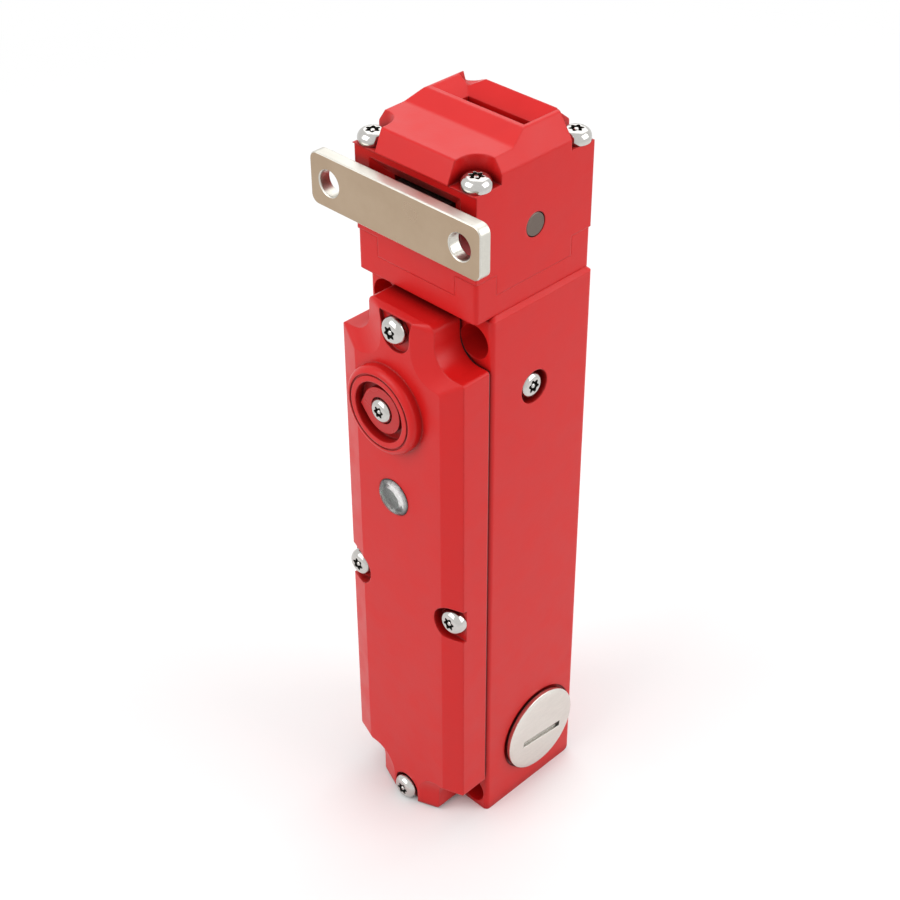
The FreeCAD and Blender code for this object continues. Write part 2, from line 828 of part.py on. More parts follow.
def front_slot():
    """The slot for a tongue from the front, with its lead-in below the lip."""
    w = slot_half_width
    front = head_y - half_head
    straight = block(-w, w, front - 1, head_y, slot_low, slot_high)
    spread = funnel_spread_side
    mouth = rectangle(-w - spread, w + spread, slot_low - funnel_spread_near, slot_high + funnel_spread_far)
    throat = rectangle(-w, w, slot_low, slot_high)
    lead = funnel(rounded_wire(mouth, front_plane(front - 0.01)),
                  rounded_wire(throat, front_plane(front + funnel_depth)))
    return straight.fuse(lead)


def cam_chamber():
    """The round chamber for the cam, open below to the plunger."""
    w = cam_chamber_half_width
    barrel = rod(cam_chamber_radius, V(-w, head_y, cam_height), V(w, head_y, cam_height))
    well = block(-w, w, head_y - cam_chamber_radius, head_y + cam_chamber_radius, base_top - 1, cam_height)
    return barrel.fuse(well)


def head_housing():
    """The turret casting with two tongue slots, corner scoops and the cam's chamber."""
    outer = slab_x(head_top_section(), -half_head, half_head)
    outer = outer.common(slab_y(head_front_section(), head_y - half_head - 2, head_y + half_head))
    front_strip = square_prism(head_size + 2 * lip_overhang, base_top, ridge_height, head_corner_radius)
    outer = outer.common(front_strip)
    cuts = [top_slot(), front_slot(), cam_chamber()]
    for item in base_blocks():
        cuts.append(item)
    scoop_top = ridge_height + 1
    cuts += head_corners(lambda x, y: rod(head_scoop_radius, V(x, y, head_screw_seat), V(x, y, scoop_top)))
    for sx in (-1, 1):
        for sy in (-1, 1):
            x = sorted((sx * head_screw_pitch, sx * (half_head + 2)))
            y = sorted((head_y + sy * head_screw_pitch, head_y + sy * (half_head + 2)))
            wide_x = sorted((sx * (head_screw_pitch - head_scoop_radius), sx * (half_head + 2)))
            wide_y = sorted((head_y + sy * (head_screw_pitch - head_scoop_radius),
                             head_y + sy * (half_head + 2)))
            cuts.append(block(wide_x[0], wide_x[1], y[0], y[1], head_screw_seat, scoop_top))
            cuts.append(block(x[0], x[1], wide_y[0], wide_y[1], head_screw_seat, scoop_top))
    cuts += head_corners(lambda x, y: rod(screw_shank_radius + clearance_gap,
                                          V(x, y, base_top - 1), V(x, y, head_screw_seat + 1)))
    cuts.append(funnel_notch())
    cuts.append(rod(axle_radius + shaft_gap, V(-half_head - 1, head_y, cam_height),
                    V(half_head + 1, head_y, cam_height)))
    return outer.cut(cuts).removeSplitter()


def head_screws():
    """The four long screws that hold the housing down on its base."""
    seat = head_screw_seat
    return Part.makeCompound(head_corners(
        lambda x, y: domed_screw(V(x, y, seat), Z_AXIS, head_screw_length, screw_head_radius,
                                 screw_head_height, screw_shank_radius)))


def cam_axle():
    """The ground steel pin that carries the cam, flush with both sides of the head."""
    pin = rod(axle_radius, V(-half_head, head_y, cam_height), V(half_head, head_y, cam_height))
    rims = [e for e in pin.Edges if abs(abs(e.CenterOfMass.x) - half_head) < 1e-3]
    return pin.makeChamfer(0.3, rims)


def drive_cam():
    """The slotted cam: two tongue notches, a catch and a spiral that pushes the rod down."""
    start = V(-cam_half_width, head_y, cam_height)
    end = V(cam_half_width, head_y, cam_height)
    disc = rod(cam_radius, start, end)
    smallest = cam_radius - plunger_stroke
    steps = 10
    curve_points = []
    for k in range(steps + 1):
        radius = smallest + plunger_stroke * k / steps
        turn = math.radians(-90 - cam_turn_degrees * k / steps)
        curve_points.append(V(0, radius * math.cos(turn), radius * math.sin(turn)))
    curve = Part.BSplineCurve()
    curve.interpolate(curve_points)
    edge = cam_radius + 1
    back = plunger_radius + 1
    last = curve_points[-1]
    corners = [last, V(0, -edge, last.z), V(0, -edge, -edge), V(0, back, -edge), V(0, back, -smallest),
               curve_points[0]]
    edges = [curve.toShape()]
    for k in range(len(corners) - 1):
        edges.append(Part.LineSegment(corners[k], corners[k + 1]).toShape())
    spiral = Part.Face(Part.Wire(edges)).extrude(V(2 * cam_half_width + 2, 0, 0))
    spiral.translate(V(-cam_half_width - 1, head_y, cam_height))
    w = cam_half_width + 1
    notch = block(-w, w, head_y + cam_catch_wall, head_y + cam_back_wall, cam_height + cam_floor,
                  cam_height + cam_radius + 1)
    crest = block(-w, w, head_y - cam_radius - 1, head_y + cam_catch_wall + 0.1,
                  cam_height + cam_catch_top, cam_height + cam_radius + 1)
    second = block(-w, w, head_y + cam_floor, head_y + cam_radius + 1, cam_height - cam_back_wall,
                   cam_height + cam_catch_top)
    hub = rod(cam_hub_radius, V(-cam_hub_half_width, head_y, cam_height),
              V(cam_hub_half_width, head_y, cam_height))
    bore = rod(axle_radius + shaft_gap, V(-half_head, head_y, cam_height), V(half_head, head_y, cam_height))
    return disc.cut([spiral, notch, crest, second]).fuse(hub).cut(bore).removeSplitter()


# ---- Actuator ----------------------------------------------------------------------------------

def actuator_bar():
    """The flat steel bar that is screwed to the guard, with two fixing holes."""
    middle = tongue_middle - bar_drop
    half = bar_length / 2
    outline = rectangle(-half, half, middle - bar_height / 2, middle + bar_height / 2, bar_corner_radius)
    bar = slab_y(outline, bar_front, bar_back)
    holes = []
    for side in (-1, 1):
        start = V(side * (half - bar_end_distance), bar_front - 1, middle)
        holes.append(rod(bar_hole_radius, start, start + V(0, bar_thickness + 2, 0)))
    bar = bar.cut(holes)
    faces = [e for e in bar.Edges if abs(e.CenterOfMass.y - bar_front) < 1e-3 or
             abs(e.CenterOfMass.y - bar_back) < 1e-3]
    return bar.makeChamfer(bar_edge_chamfer, faces)


def actuator_tongue():
    """The windowed tongue, welded square to the back of the bar."""
    tip = head_y + tongue_tip
    w = tongue_half_width
    outline = [(-w, bar_back, 0), (w, bar_back, 0), (w, tip, tongue_tip_radius), (-w, tip, tongue_tip_radius)]
    low = tongue_middle - tongue_thickness / 2
    plate = slab_z(outline, low, low + tongue_thickness)
    front = tip - tongue_bridge
    window = rectangle(-tongue_window_half_width, tongue_window_half_width,
                       front - tongue_window_length, front, 1.0)
    return plate.cut(slab_z(window, low - 1, low + tongue_thickness + 1))


def actuator_welds():
    """The two fillet welds that join the tongue to the bar."""
    size = 1.6
    w = tongue_half_width - 0.6
    high = tongue_middle + tongue_thickness / 2
    low = tongue_middle - tongue_thickness / 2
    upper = slab_x(plain([(bar_back, high), (bar_back + size, high), (bar_back, high + size)]), -w, w)
    lower = slab_x(plain([(bar_back, low), (bar_back + size, low), (bar_back, low - size)]), -w, w)
    return Part.makeCompound([upper, lower])


# ---- Plunger -----------------------------------------------------------------------------------

def plunger_rod():
    """The hardened rod between the cam and the contacts, with its collars."""
    top = cam_height - cam_radius + plunger_stroke - plunger_gap
    profile = [(0, plunger_low), (plunger_radius - 0.5, plunger_low), (plunger_radius, plunger_low + 0.5),
               (plunger_radius, top - plunger_radius)]
    for k in range(1, 7):
        turn = math.radians(15 * k)
        profile.append((plunger_radius * math.cos(turn), top - plunger_radius * (1 - math.sin(turn))))
    rod_shape = turned(profile, V(0, head_y, 0), Z_AXIS)
    cap = rod(collar_radius, V(0, head_y, spring_cap_height),
              V(0, head_y, spring_cap_height + spring_cap_thickness))
    return rod_shape.fuse(cap).removeSplitter()


def lock_collar():
    """The thin hardened washer on the rod that the pawl catches."""
    low = V(0, head_y, collar_height - collar_thickness)
    return ring(collar_radius, plunger_radius, low, low + V(0, 0, collar_thickness))


def plunger_bush():
    """The flanged bronze bush that guides the rod in the head's neck."""
    low = body_height - neck_length
    top = base_top
    tube = rod(neck_bore_radius - shaft_gap, V(0, head_y, low), V(0, head_y, top))
    flange = rod(bush_flange_radius + 1.6, V(0, head_y, low - bush_flange_thickness), V(0, head_y, low))
    bore = rod(plunger_radius + shaft_gap, V(0, head_y, low - 5), V(0, head_y, top + 1))
    return tube.fuse(flange).cut(bore).removeSplitter()


def plunger_spring():
    """The coil spring that lifts the rod when the tongue leaves."""
    return spring(plunger_spring_radius, plunger_spring_wire, plunger_spring_turns, 0, head_y,
                  spring_seat_height, spring_cap_height)


# ---- Chassis, solenoid and lever ---------------------------------------------------------------

def chassis_screw_places():
    """Where the chassis is screwed to the casing, as (x, z)."""
    return [(side * (chassis_half_width - chassis_screw_inset), z) for side in (-1, 1)
            for z in (chassis_low + chassis_screw_rise, chassis_high - chassis_screw_drop)]


def chassis_screw_holes(radius, y0, y1):
    """Round holes for the chassis screws between two depths."""
    holes = [rod(radius, V(x, y0, z), V(x, y1, z)) for x, z in chassis_screw_places()]
    return Part.makeCompound(holes)


def chassis():
    """The folded steel bracket: a back plate, two cheeks for the lever and a spring shelf."""
    plate_y = inner_back - chassis_thickness
    half = chassis_half_width
    plate = slab_y(rectangle(-half, half, chassis_low, chassis_high, 1.5), plate_y, inner_back)
    front = seam_y + cheek_front
    cheeks = []
    for side in (-1, 1):
        x0, x1 = sorted((side * half, side * (half - cheek_thickness)))
        outline = [(plate_y + 0.5, cheek_low, 0), (front + cheek_slope_run, cheek_low, 2),
                   (front, cheek_low + cheek_slope_rise, 2),
                   (front, chassis_high - 1, 2), (plate_y + 0.5, chassis_high - 1, 0)]
        cheeks.append(slab_x(outline, x0, x1))
    shelf_low = spring_seat_height - chassis_thickness
    shelf = slab_z(rectangle(-shelf_half_width, shelf_half_width, head_y - shelf_reach, plate_y + 0.5, 0),
                   shelf_low, spring_seat_height)
    result = joined([plate] + cheeks + [shelf])
    cuts = [rod(plunger_radius + clearance_gap, V(0, head_y, shelf_low - 1),
                V(0, head_y, spring_seat_height + 1)),
            rod(lever_pin_radius + shaft_gap, V(-half - 1, lever_y, lever_pivot_height),
                V(half + 1, lever_y, lever_pivot_height)),
            chassis_screw_holes(screw_shank_radius + clearance_gap, plate_y - 1, inner_back + 1)]
    for side in (-1, 1):
        x0, x1 = sorted((side * (half - 3), side * (half + 1)))
        spot = V(x0, head_y, access_height)
        cuts.append(rod(screw_shank_radius + 1, spot, V(x1, head_y, access_height)))
    return result.cut(cuts).removeSplitter()


def pan_screw(seat, axis, length, radius=pan_head_radius, height=pan_head_height):
    """A plain pan-head screw with a cross slot; axis points out of the seat."""
    profile = [(0, -length), (screw_shank_radius, -length), (screw_shank_radius, 0), (radius, 0),
               (radius, height * 0.6), (radius * 0.8, height), (0, height)]
    screw = turned(profile, V(0, 0, 0), Z_AXIS)
    slots = [Part.makeBox(radius * 1.3, 0.7, 1.0, V(-radius * 0.65, -0.35, height - 0.8)),
             Part.makeBox(0.7, radius * 1.3, 1.0, V(-0.35, -radius * 0.65, height - 0.8))]
    screw = screw.cut(slots)
    screw.Placement = FreeCAD.Placement(seat, FreeCAD.Rotation(Z_AXIS, axis))
    return screw


def chassis_screws():
    """The four screws that hold the chassis to the back of the casing."""
    face = inner_back - chassis_thickness
    return Part.makeCompound([pan_screw(V(x, face, z), V(0, -1, 0), chassis_screw_length)
                              for x, z in chassis_screw_places()])


def solenoid_yoke():
    """The folded steel frame round the coil, with feet back to the chassis."""
    y0 = seam_y + solenoid_front
    y1 = seam_y + solenoid_back
    half = chassis_half_width - cheek_thickness - yoke_side_gap
    t = yoke_thickness
    outer = block(-half, half, y0, y1, solenoid_low, solenoid_high)
    inner = block(-half + t, half - t, y0 - 1, y1 + 1, solenoid_low + t, solenoid_high - t)
    frame = outer.cut(inner)
    feet = []
    foot_low = solenoid_low + yoke_foot_rise
    for side in (-1, 1):
        x0, x1 = sorted((side * half, side * (half - t)))
        feet.append(block(x0, x1, y1 - 0.5, inner_back - chassis_thickness, foot_low,
                          foot_low + yoke_foot_height))
    frame = frame.fuse(feet)
    hole = rod(armature_radius + shaft_gap, V(0, armature_y, solenoid_high - t - 1),
               V(0, armature_y, solenoid_high + 1))
    low_hole = rod(2.0, V(0, armature_y, solenoid_low - 1), V(0, armature_y, solenoid_low + t + 1))
    return frame.cut([hole, low_hole]).removeSplitter()


def coil_bobbin():
    """The plastic bobbin between the yoke's end plates."""
    low = solenoid_low + yoke_thickness
    high = solenoid_high - yoke_thickness
    f = bobbin_flange_thickness
    profile = [(armature_radius + shaft_gap, low), (coil_radius, low), (coil_radius, low + f),
               (bobbin_tube_radius + 0.6, low + f), (bobbin_tube_radius + 0.6, high - f),
               (coil_radius, high - f), (coil_radius, high), (armature_radius + shaft_gap, high)]
    return turned(profile, V(0, armature_y, 0), Z_AXIS)


def solenoid_coil():
    """The taped copper winding on the bobbin."""
    low = solenoid_low + yoke_thickness + bobbin_flange_thickness
    high = solenoid_high - yoke_thickness - bobbin_flange_thickness
    inner = bobbin_tube_radius + 0.6
    profile = [(inner, low), (coil_radius - 0.3, low), (coil_radius - 0.1, low + 1.5),
               (coil_radius - 0.1, high - 1.5), (coil_radius - 0.3, high), (inner, high)]
    return turned(profile, V(0, armature_y, 0), Z_AXIS)


def stop_plug():
    """The fixed iron core at the bottom of the coil, riveted into the yoke."""
    low = solenoid_low + yoke_thickness
    core = rod(armature_radius - 0.05, V(0, armature_y, low), V(0, armature_y, low + stop_plug_length))
    rivet = rod(1.95, V(0, armature_y, solenoid_low - 0.6), V(0, armature_y, low + 0.1))
    seat = rod(armature_spring_radius + 0.7, V(0, armature_y, low + stop_plug_length - 2),
               V(0, armature_y, low + stop_plug_length + 1))
    return core.fuse(rivet).cut(seat).removeSplitter()


def armature_low_level():
    """The underside of the armature at rest."""
    return solenoid_high + 3.0 - armature_length


def armature():
    """The iron plunger of the solenoid, its brass stem and the grooved head that works the lever."""
    low = armature_low_level()
    high = low + armature_length
    top = armature_neck_height
    groove_top = top + armature_groove
    profile = [(0, low + 2.5), (armature_spring_radius + 0.7, low + 2.5), (armature_spring_radius + 0.7, low),
               (armature_radius - 0.02, low), (armature_radius - 0.02, high),
               (armature_stem_radius, high), (armature_stem_radius, top - armature_head_thickness),
               (armature_head_radius, top - armature_head_thickness), (armature_head_radius, top),
               (armature_stem_radius, top), (armature_stem_radius, groove_top),
               (armature_head_radius, groove_top), (armature_head_radius, groove_top + armature_head_thickness),
               (0, groove_top + armature_head_thickness)]
    return turned(profile, V(0, armature_y, 0), Z_AXIS)


def armature_spring():
    """The coil spring that holds the armature up when the coil has no current."""
    low = solenoid_low + yoke_thickness + stop_plug_length - 2
    high = armature_low_level() + 2.5
    return spring(armature_spring_radius, armature_spring_wire, armature_spring_turns, 0, armature_y, low, high)


def lever_turned(shape, degrees):
    """The shape turned about the lever's pivot."""
    shape.rotate(V(0, lever_y, lever_pivot_height), X_AXIS, degrees)
    return shape


def lock_lever():
    """The bell crank: a fork in the armature's groove and a pawl that stands under the collar."""
    half_pawl = pawl_width / 2
    pivot = V(0, lever_y, lever_pivot_height)
    hub_half = chassis_half_width - cheek_thickness - run_gap
    hub = rod(lever_pin_radius + 1.4, pivot - V(hub_half, 0, 0), pivot + V(hub_half, 0, 0))
    top = collar_height - collar_thickness - run_gap
    low = top - pawl_thickness
    tip = head_y - plunger_radius - run_gap - 0.1
    front = lever_y - pawl_arm_front
    back = lever_y + pawl_arm_back
    arm = [(front, lever_pivot_height, 0), (front, low, 0.8), (tip, low, 0), (tip, top, 0), (back, top, 0),
           (back, lever_pivot_height, 0)]
    pawl = lever_turned(slab_x(arm, -half_pawl, half_pawl), -lever_turn_degrees)
    nose = armature_y - 2.4
    level = lever_pivot_height
    half_fork = fork_thickness / 2
    beam = [(lever_y, level - half_fork, 0), (lever_y, level + half_fork, 0), (nose, level + half_fork, 0.8),
            (nose, level - half_fork, 0.8)]
    gap = armature_stem_radius + run_gap + 0.1
    prongs = []
    for side in (-1, 1):
        x0, x1 = sorted((side * gap, side * (gap + fork_width)))
        prongs.append(lever_turned(slab_x(beam, x0, x1), -lever_turn_degrees / 2))
    bore = rod(lever_pin_radius + shaft_gap, pivot - V(hub_half + 1, 0, 0), pivot + V(hub_half + 1, 0, 0))
    return joined([hub, pawl] + prongs).cut(bore).removeSplitter()


def lever_pin():
    """The pin that carries the lever between the chassis cheeks."""
    half = chassis_half_width + 0.2
    centre = V(0, lever_y, lever_pivot_height)
    return rod(lever_pin_radius, centre - V(half, 0, 0), centre + V(half, 0, 0))


# ---- Manual release ----------------------------------------------------------------------------

def knob_outline(y):
    """A disc drawn out to a blunt beak on one side, standing upright at depth y."""
    radius = release_knob_radius
    middle = math.radians(release_beak_turn)
    spread = math.acos(radius / release_beak_reach)

    def at(distance, angle):
        return V(release_x + distance * math.cos(angle), y, release_height + distance * math.sin(angle))

    start = middle + spread
    end = middle - spread + 2 * math.pi
    arc = Part.Arc(at(radius, start), at(radius, (start + end) / 2), at(radius, end)).toShape()
    beak = at(release_beak_reach, middle)
    low = Part.LineSegment(beak, at(radius, start)).toShape()
    high = Part.LineSegment(at(radius, end), beak).toShape()
    return Part.Wire([low, arc, high])


def release_face():
    """The depth of the knob's flat face."""
    return knob_y + release_recess_depth - 0.02 - release_knob_height


def release_cam():
    """The turning piece of the manual release: beaked knob, shaft and eccentric end."""
    floor = knob_y + release_recess_depth
    x = release_x
    z = release_height
    knob = Part.Face(knob_outline(floor - 0.02)).extrude(V(0, -release_knob_height, 0))
    shaft = rod(release_shaft_radius, V(x, floor - 0.5, z), V(x, floor + release_shaft_length, z))
    end = V(x - release_eccentric, floor + release_shaft_length - 0.1, z)
    peg = rod(release_peg_radius, end, end + V(0, release_peg_length, 0))
    clip_y = cover_y + cover_wall + run_gap
    groove = ring(release_shaft_radius + 1, release_shaft_radius - release_groove_depth,
                  V(x, clip_y - 0.05, z), V(x, clip_y + release_clip_thickness + 0.05, z))
    face = release_face()
    bore = rod(release_screw_shank_radius + screw_gap, V(x, face - 1, z),
               V(x, face + release_screw_sink + release_screw_length + 0.4, z))
    socket = rod(release_screw_radius + clearance_gap, V(x, face - 1, z), V(x, face + release_screw_sink, z))
    return joined([knob, shaft, peg]).cut([groove, bore, socket]).removeSplitter()


def release_screw():
    """The security screw that blocks the manual release until it is needed."""
    seat = V(release_x, release_face() + release_screw_sink, release_height)
    return domed_screw(seat, V(0, -1, 0), release_screw_length, release_screw_radius, release_screw_height,
                       release_screw_shank_radius)


def release_clip():
    """The snap ring that keeps the release in the cover."""
    start = V(release_x, cover_y + cover_wall + run_gap, release_height)
    end = start + V(0, release_clip_thickness, 0)
    inner = release_shaft_radius - release_groove_depth + 0.05
    band = ring(release_clip_radius, inner, start, end)
    gap = block(release_x - 1.2, release_x + 1.2, start.y - 1, end.y + 1, release_height,
                release_height + release_clip_radius + 1)
    return band.cut(gap)


# ---- Indicator ---------------------------------------------------------------------------------

def indicator_lens():
    """The clear domed lens, pressed into the cover from the front."""
    f = lens_flange
    profile = [(0, -cover_wall - 0.4), (lens_stem_radius, -cover_wall - 0.4), (lens_stem_radius, -f),
               (lens_radius, -f), (lens_radius, 0.1), (lens_radius * 0.86, lens_dome * 0.5),
               (lens_radius * 0.6, lens_dome * 0.85), (lens_radius * 0.3, lens_dome * 0.97), (0, lens_dome)]
    return turned(profile, V(lens_x, cover_y, lens_height), V(0, -1, 0))


def board_front():
    """The front face of the indicator's circuit board."""
    return cover_y + cover_wall + 0.4 + led_height + board_gap


def indicator_board():
    """The small circuit board on two posts behind the lens, with its lamp."""
    y = board_front()
    half_w = board_width / 2
    half_h = board_height / 2
    sheet = slab_y(rectangle(lens_x - half_w, lens_x + half_w, lens_height - half_h, lens_height + half_h, 0.8),
                   y, y + board_thickness)
    lamp = rod(led_radius, V(lens_x, y + 0.1, lens_height), V(lens_x, y - led_height, lens_height))
    tip = [e for e in lamp.Edges if abs(e.CenterOfMass.y - (y - led_height)) < 1e-3]
    lamp = lamp.makeFillet(led_height * 0.7, tip)
    chips = [block(lens_x - 6, lens_x - 3, y - 0.8, y + 0.1, lens_height + 3, lens_height + 6),
             block(lens_x + 3, lens_x + 5.5, y - 0.7, y + 0.1, lens_height - 6, lens_height - 3)]
    return joined([sheet, lamp] + chips)


# ---- Screws and plugs on the sides -------------------------------------------------------------

def access_screw(side):
    """The sunk security screw that closes the side access to the lock lever."""
    seat = V(side * (half_body - access_bore_depth), head_y, access_height)
    return domed_screw(seat, V(side, 0, 0), access_shank_length, screw_head_radius, screw_head_height,
                       screw_shank_radius)


def conduit_plug(side):
    """The slotted blanking plug of a side cable entry."""
    under = half_body - spot_face_depth + plug_seal_thickness
    top = under + plug_head_thickness
    crown = plug_head_radius * 0.93
    profile = [(plug_bore_radius, under - plug_seal_thickness - plug_shank_length),
               (entry_radius - screw_gap, under - plug_seal_thickness - plug_shank_length),
               (entry_radius - screw_gap, under), (plug_head_radius, under),
               (plug_head_radius, top - 0.5), (crown, top - 0.1), (crown * 0.9, top), (0, top),
               (0, top - 1.4), (plug_bore_radius, top - 1.4)]
    plug = turned(profile, V(0, 0, side_entry_height), V(side, 0, 0))
    slot = Part.makeBox(2, plug_slot_length, plug_slot_width,
                        V(top - plug_slot_depth, -plug_slot_length / 2, -plug_slot_width / 2))
    slot.rotate(V(0, 0, 0), X_AXIS, -plug_slot_lean)
    slot.translate(V(0, 0, side_entry_height - plug_slot_drop))
    if side < 0:
        slot = mirrored_x(slot)
    return plug.cut(slot).removeSplitter()


def plug_seal(side):
    """The flat rubber washer under a conduit plug's head."""
    face = V(side * (half_body - spot_face_depth), 0, side_entry_height)
    return ring(plug_head_radius - 1.0, entry_radius + 0.1, face, face + V(side * plug_seal_thickness, 0, 0))


# ---- Contacts ----------------------------------------------------------------------------------

def block_screw_places():
    """Where the contact block is screwed to the casing, as (x, z)."""
    return [(side * (block_width / 2 - block_screw_inset), block_low + block_screw_rise) for side in (-1, 1)]


def block_screw_holes(radius, y0, y1):
    """Round holes for the contact block's screws between two depths."""
    return Part.makeCompound([rod(radius, V(x, y0, z), V(x, y1, z)) for x, z in block_screw_places()])


def contact_block():
    """The moulded contact block: a box open at the front with a step below for the wires."""
    back = inner_back
    front = back - block_depth
    half = block_width / 2
    t = block_wall
    box = slab_y(rectangle(-half, half, block_low, block_high, 1.0), front, back)
    well = block(-well_half_width, well_half_width, front - 1, back - t, well_floor, block_high - t)
    step = block(-half - 1, half + 1, front - 1, back - block_step_depth, block_low - 1, step_top)
    guide = rod(plunger_radius + shaft_gap, V(0, head_y, block_high - t - 1), V(0, head_y, block_high + 1))
    holes = block_screw_holes(screw_shank_radius + clearance_gap, back - block_step_depth - 1, back + 1)
    cuts = [well, step, guide, holes]
    z = strip_low
    for side in (-1, 1):
        x0, x1 = sorted((side * (well_half_width - 1), side * half))
        cuts.append(block(x0, x1, front - 1, head_y + strip_reach, z, z + contact_strip_thickness))
        tip = terminal_place(side)
        cuts.append(rod(terminal_shank_radius, tip, tip + V(0, terminal_shank_length, 0)))
    return box.cut(cuts).removeSplitter()


def terminal_place(side):
    """Where a terminal screw's head sits on its strip."""
    front = inner_back - block_depth - contact_strip_thickness
    return V(side * terminal_x, front, strip_low - terminal_drop)


def contact_carrier():
    """The moulded slide under the plunger rod that carries the contact bridge."""
    z = bridge_height
    body = rod(plunger_radius, V(0, head_y, z - 1.5), V(0, head_y, plunger_low))
    cross = block(-1.5, 1.5, head_y - 3.4, head_y + 3.4, z - 1.5, z + 3.0)
    slot = block(-4, 4, head_y - bridge_depth / 2, head_y + bridge_depth / 2, z, z + bridge_thickness)
    return joined([body, cross]).cut(slot).removeSplitter()


def contact_bridge():
    """The silver-faced bridge that joins the two fixed contacts from below."""
    half = bridge_width / 2
    z = bridge_height
    strip = slab_z(rectangle(-half, half, head_y - bridge_depth / 2, head_y + bridge_depth / 2, 0.6),
                   z, z + bridge_thickness)
    face = z + bridge_thickness
    tips = []
    for side in (-1, 1):
        spot = V(side * contact_half_pitch, head_y, face - 0.1)
        tips.append(rod(contact_radius, spot, spot + V(0, 0, contact_height + 0.1)))
    return joined([strip] + tips)


def fixed_contacts():
    """The pair of bent brass strips, each from a contact out to its terminal."""
    front = inner_back - block_depth
    z = strip_low
    t = contact_strip_thickness
    strips = []
    for side in (-1, 1):
        inner = side * (contact_half_pitch - contact_strip_width / 2)
        outer = side * (block_width / 2 - 0.3)
        x0, x1 = sorted((inner, outer))
        shelf = block(x0, x1, front - t, head_y + strip_reach, z, z + t)
        e0, e1 = sorted((side * (well_half_width + 0.2), outer))
        tab = block(e0, e1, front - t, front, z - terminal_drop - terminal_tab_drop, z + 0.1)
        spot = V(side * contact_half_pitch, head_y, z + 0.1)
        tip = rod(contact_radius, spot, spot - V(0, 0, contact_height + 0.1))
        place = terminal_place(side)
        hole = rod(terminal_shank_radius, place - V(0, 1, 0), place + V(0, t + 1, 0))
        strips.append(joined([shelf, tab, tip]).cut(hole))
    return Part.makeCompound(strips)


def terminal_screws():
    """The two screws that clamp the wires to the fixed contacts."""
    screws = []
    for side in (-1, 1):
        seat = terminal_place(side)
        head = rod(terminal_screw_radius, seat, seat - V(0, terminal_screw_height, 0))
        shank = rod(terminal_shank_radius, seat - V(0, 0.1, 0), seat + V(0, terminal_shank_length, 0))
        half = terminal_slot_width / 2
        slot = block(seat.x - terminal_screw_radius - 1, seat.x + terminal_screw_radius + 1,
                     seat.y - terminal_screw_height - 1, seat.y - terminal_screw_height / 2,
                     seat.z - half, seat.z + half)
        screws.append(head.fuse(shank).cut(slot).removeSplitter())
    return Part.makeCompound(screws)


def block_screws():
    """The two screws that hold the contact block to the back of the casing."""
    face = inner_back - block_step_depth
    return Part.makeCompound([pan_screw(V(x, face, z), V(0, -1, 0), block_screw_length,
                                        block_screw_head_radius, block_screw_head_height)
                              for x, z in block_screw_places()])


def earth_screw():
    """The earthing screw in the back wall beside the wiring space."""
    return pan_screw(V(-cavity_half + earth_screw_inset, inner_back, earth_screw_height), V(0, -1, 0),
                     earth_screw_length)


def main():
    """Builds every sub-part and writes it to parts/."""
    os.makedirs("parts", exist_ok=True)
    nodes = {
        "body_casing": body_casing(),
        "front_cover": front_cover(),
        "cover_gasket": cover_gasket(),
        "cover_screws": cover_screws(),
        "head_base": head_base(),
        "neck_ring": neck_ring(),
        "head_housing": head_housing(),
        "head_screws": head_screws(),
        "cam_axle": cam_axle(),
        "drive_cam": drive_cam(),
        "actuator_bar": actuator_bar(),
        "actuator_tongue": actuator_tongue(),
        "actuator_welds": actuator_welds(),
        "plunger_rod": plunger_rod(),
        "lock_collar": lock_collar(),
        "plunger_bush": plunger_bush(),
        "plunger_spring": plunger_spring(),
        "chassis": chassis(),
        "chassis_screws": chassis_screws(),
        "solenoid_yoke": solenoid_yoke(),
        "coil_bobbin": coil_bobbin(),
        "solenoid_coil": solenoid_coil(),
        "stop_plug": stop_plug(),
        "armature": armature(),
        "armature_spring": armature_spring(),
        "lock_lever": lock_lever(),
        "lever_pin": lever_pin(),
        "release_cam": release_cam(),
        "release_screw": release_screw(),
        "release_clip": release_clip(),
        "indicator_lens": indicator_lens(),
        "indicator_board": indicator_board(),
        "contact_block": contact_block(),
        "contact_carrier": contact_carrier(),
        "contact_bridge": contact_bridge(),
        "fixed_contacts": fixed_contacts(),
        "terminal_screws": terminal_screws(),
        "block_screws": block_screws(),
        "earth_screw": earth_screw(),
    }
    for side, name in ((-1, "left"), (1, "right")):
        nodes["access_screw_" + name] = access_screw(side)
        nodes["conduit_plug_" + name] = conduit_plug(side)
        nodes["plug_seal_" + name] = plug_seal(side)
    for name, shape in nodes.items():
        shape.exportStep("parts/" + name + ".step")


main()
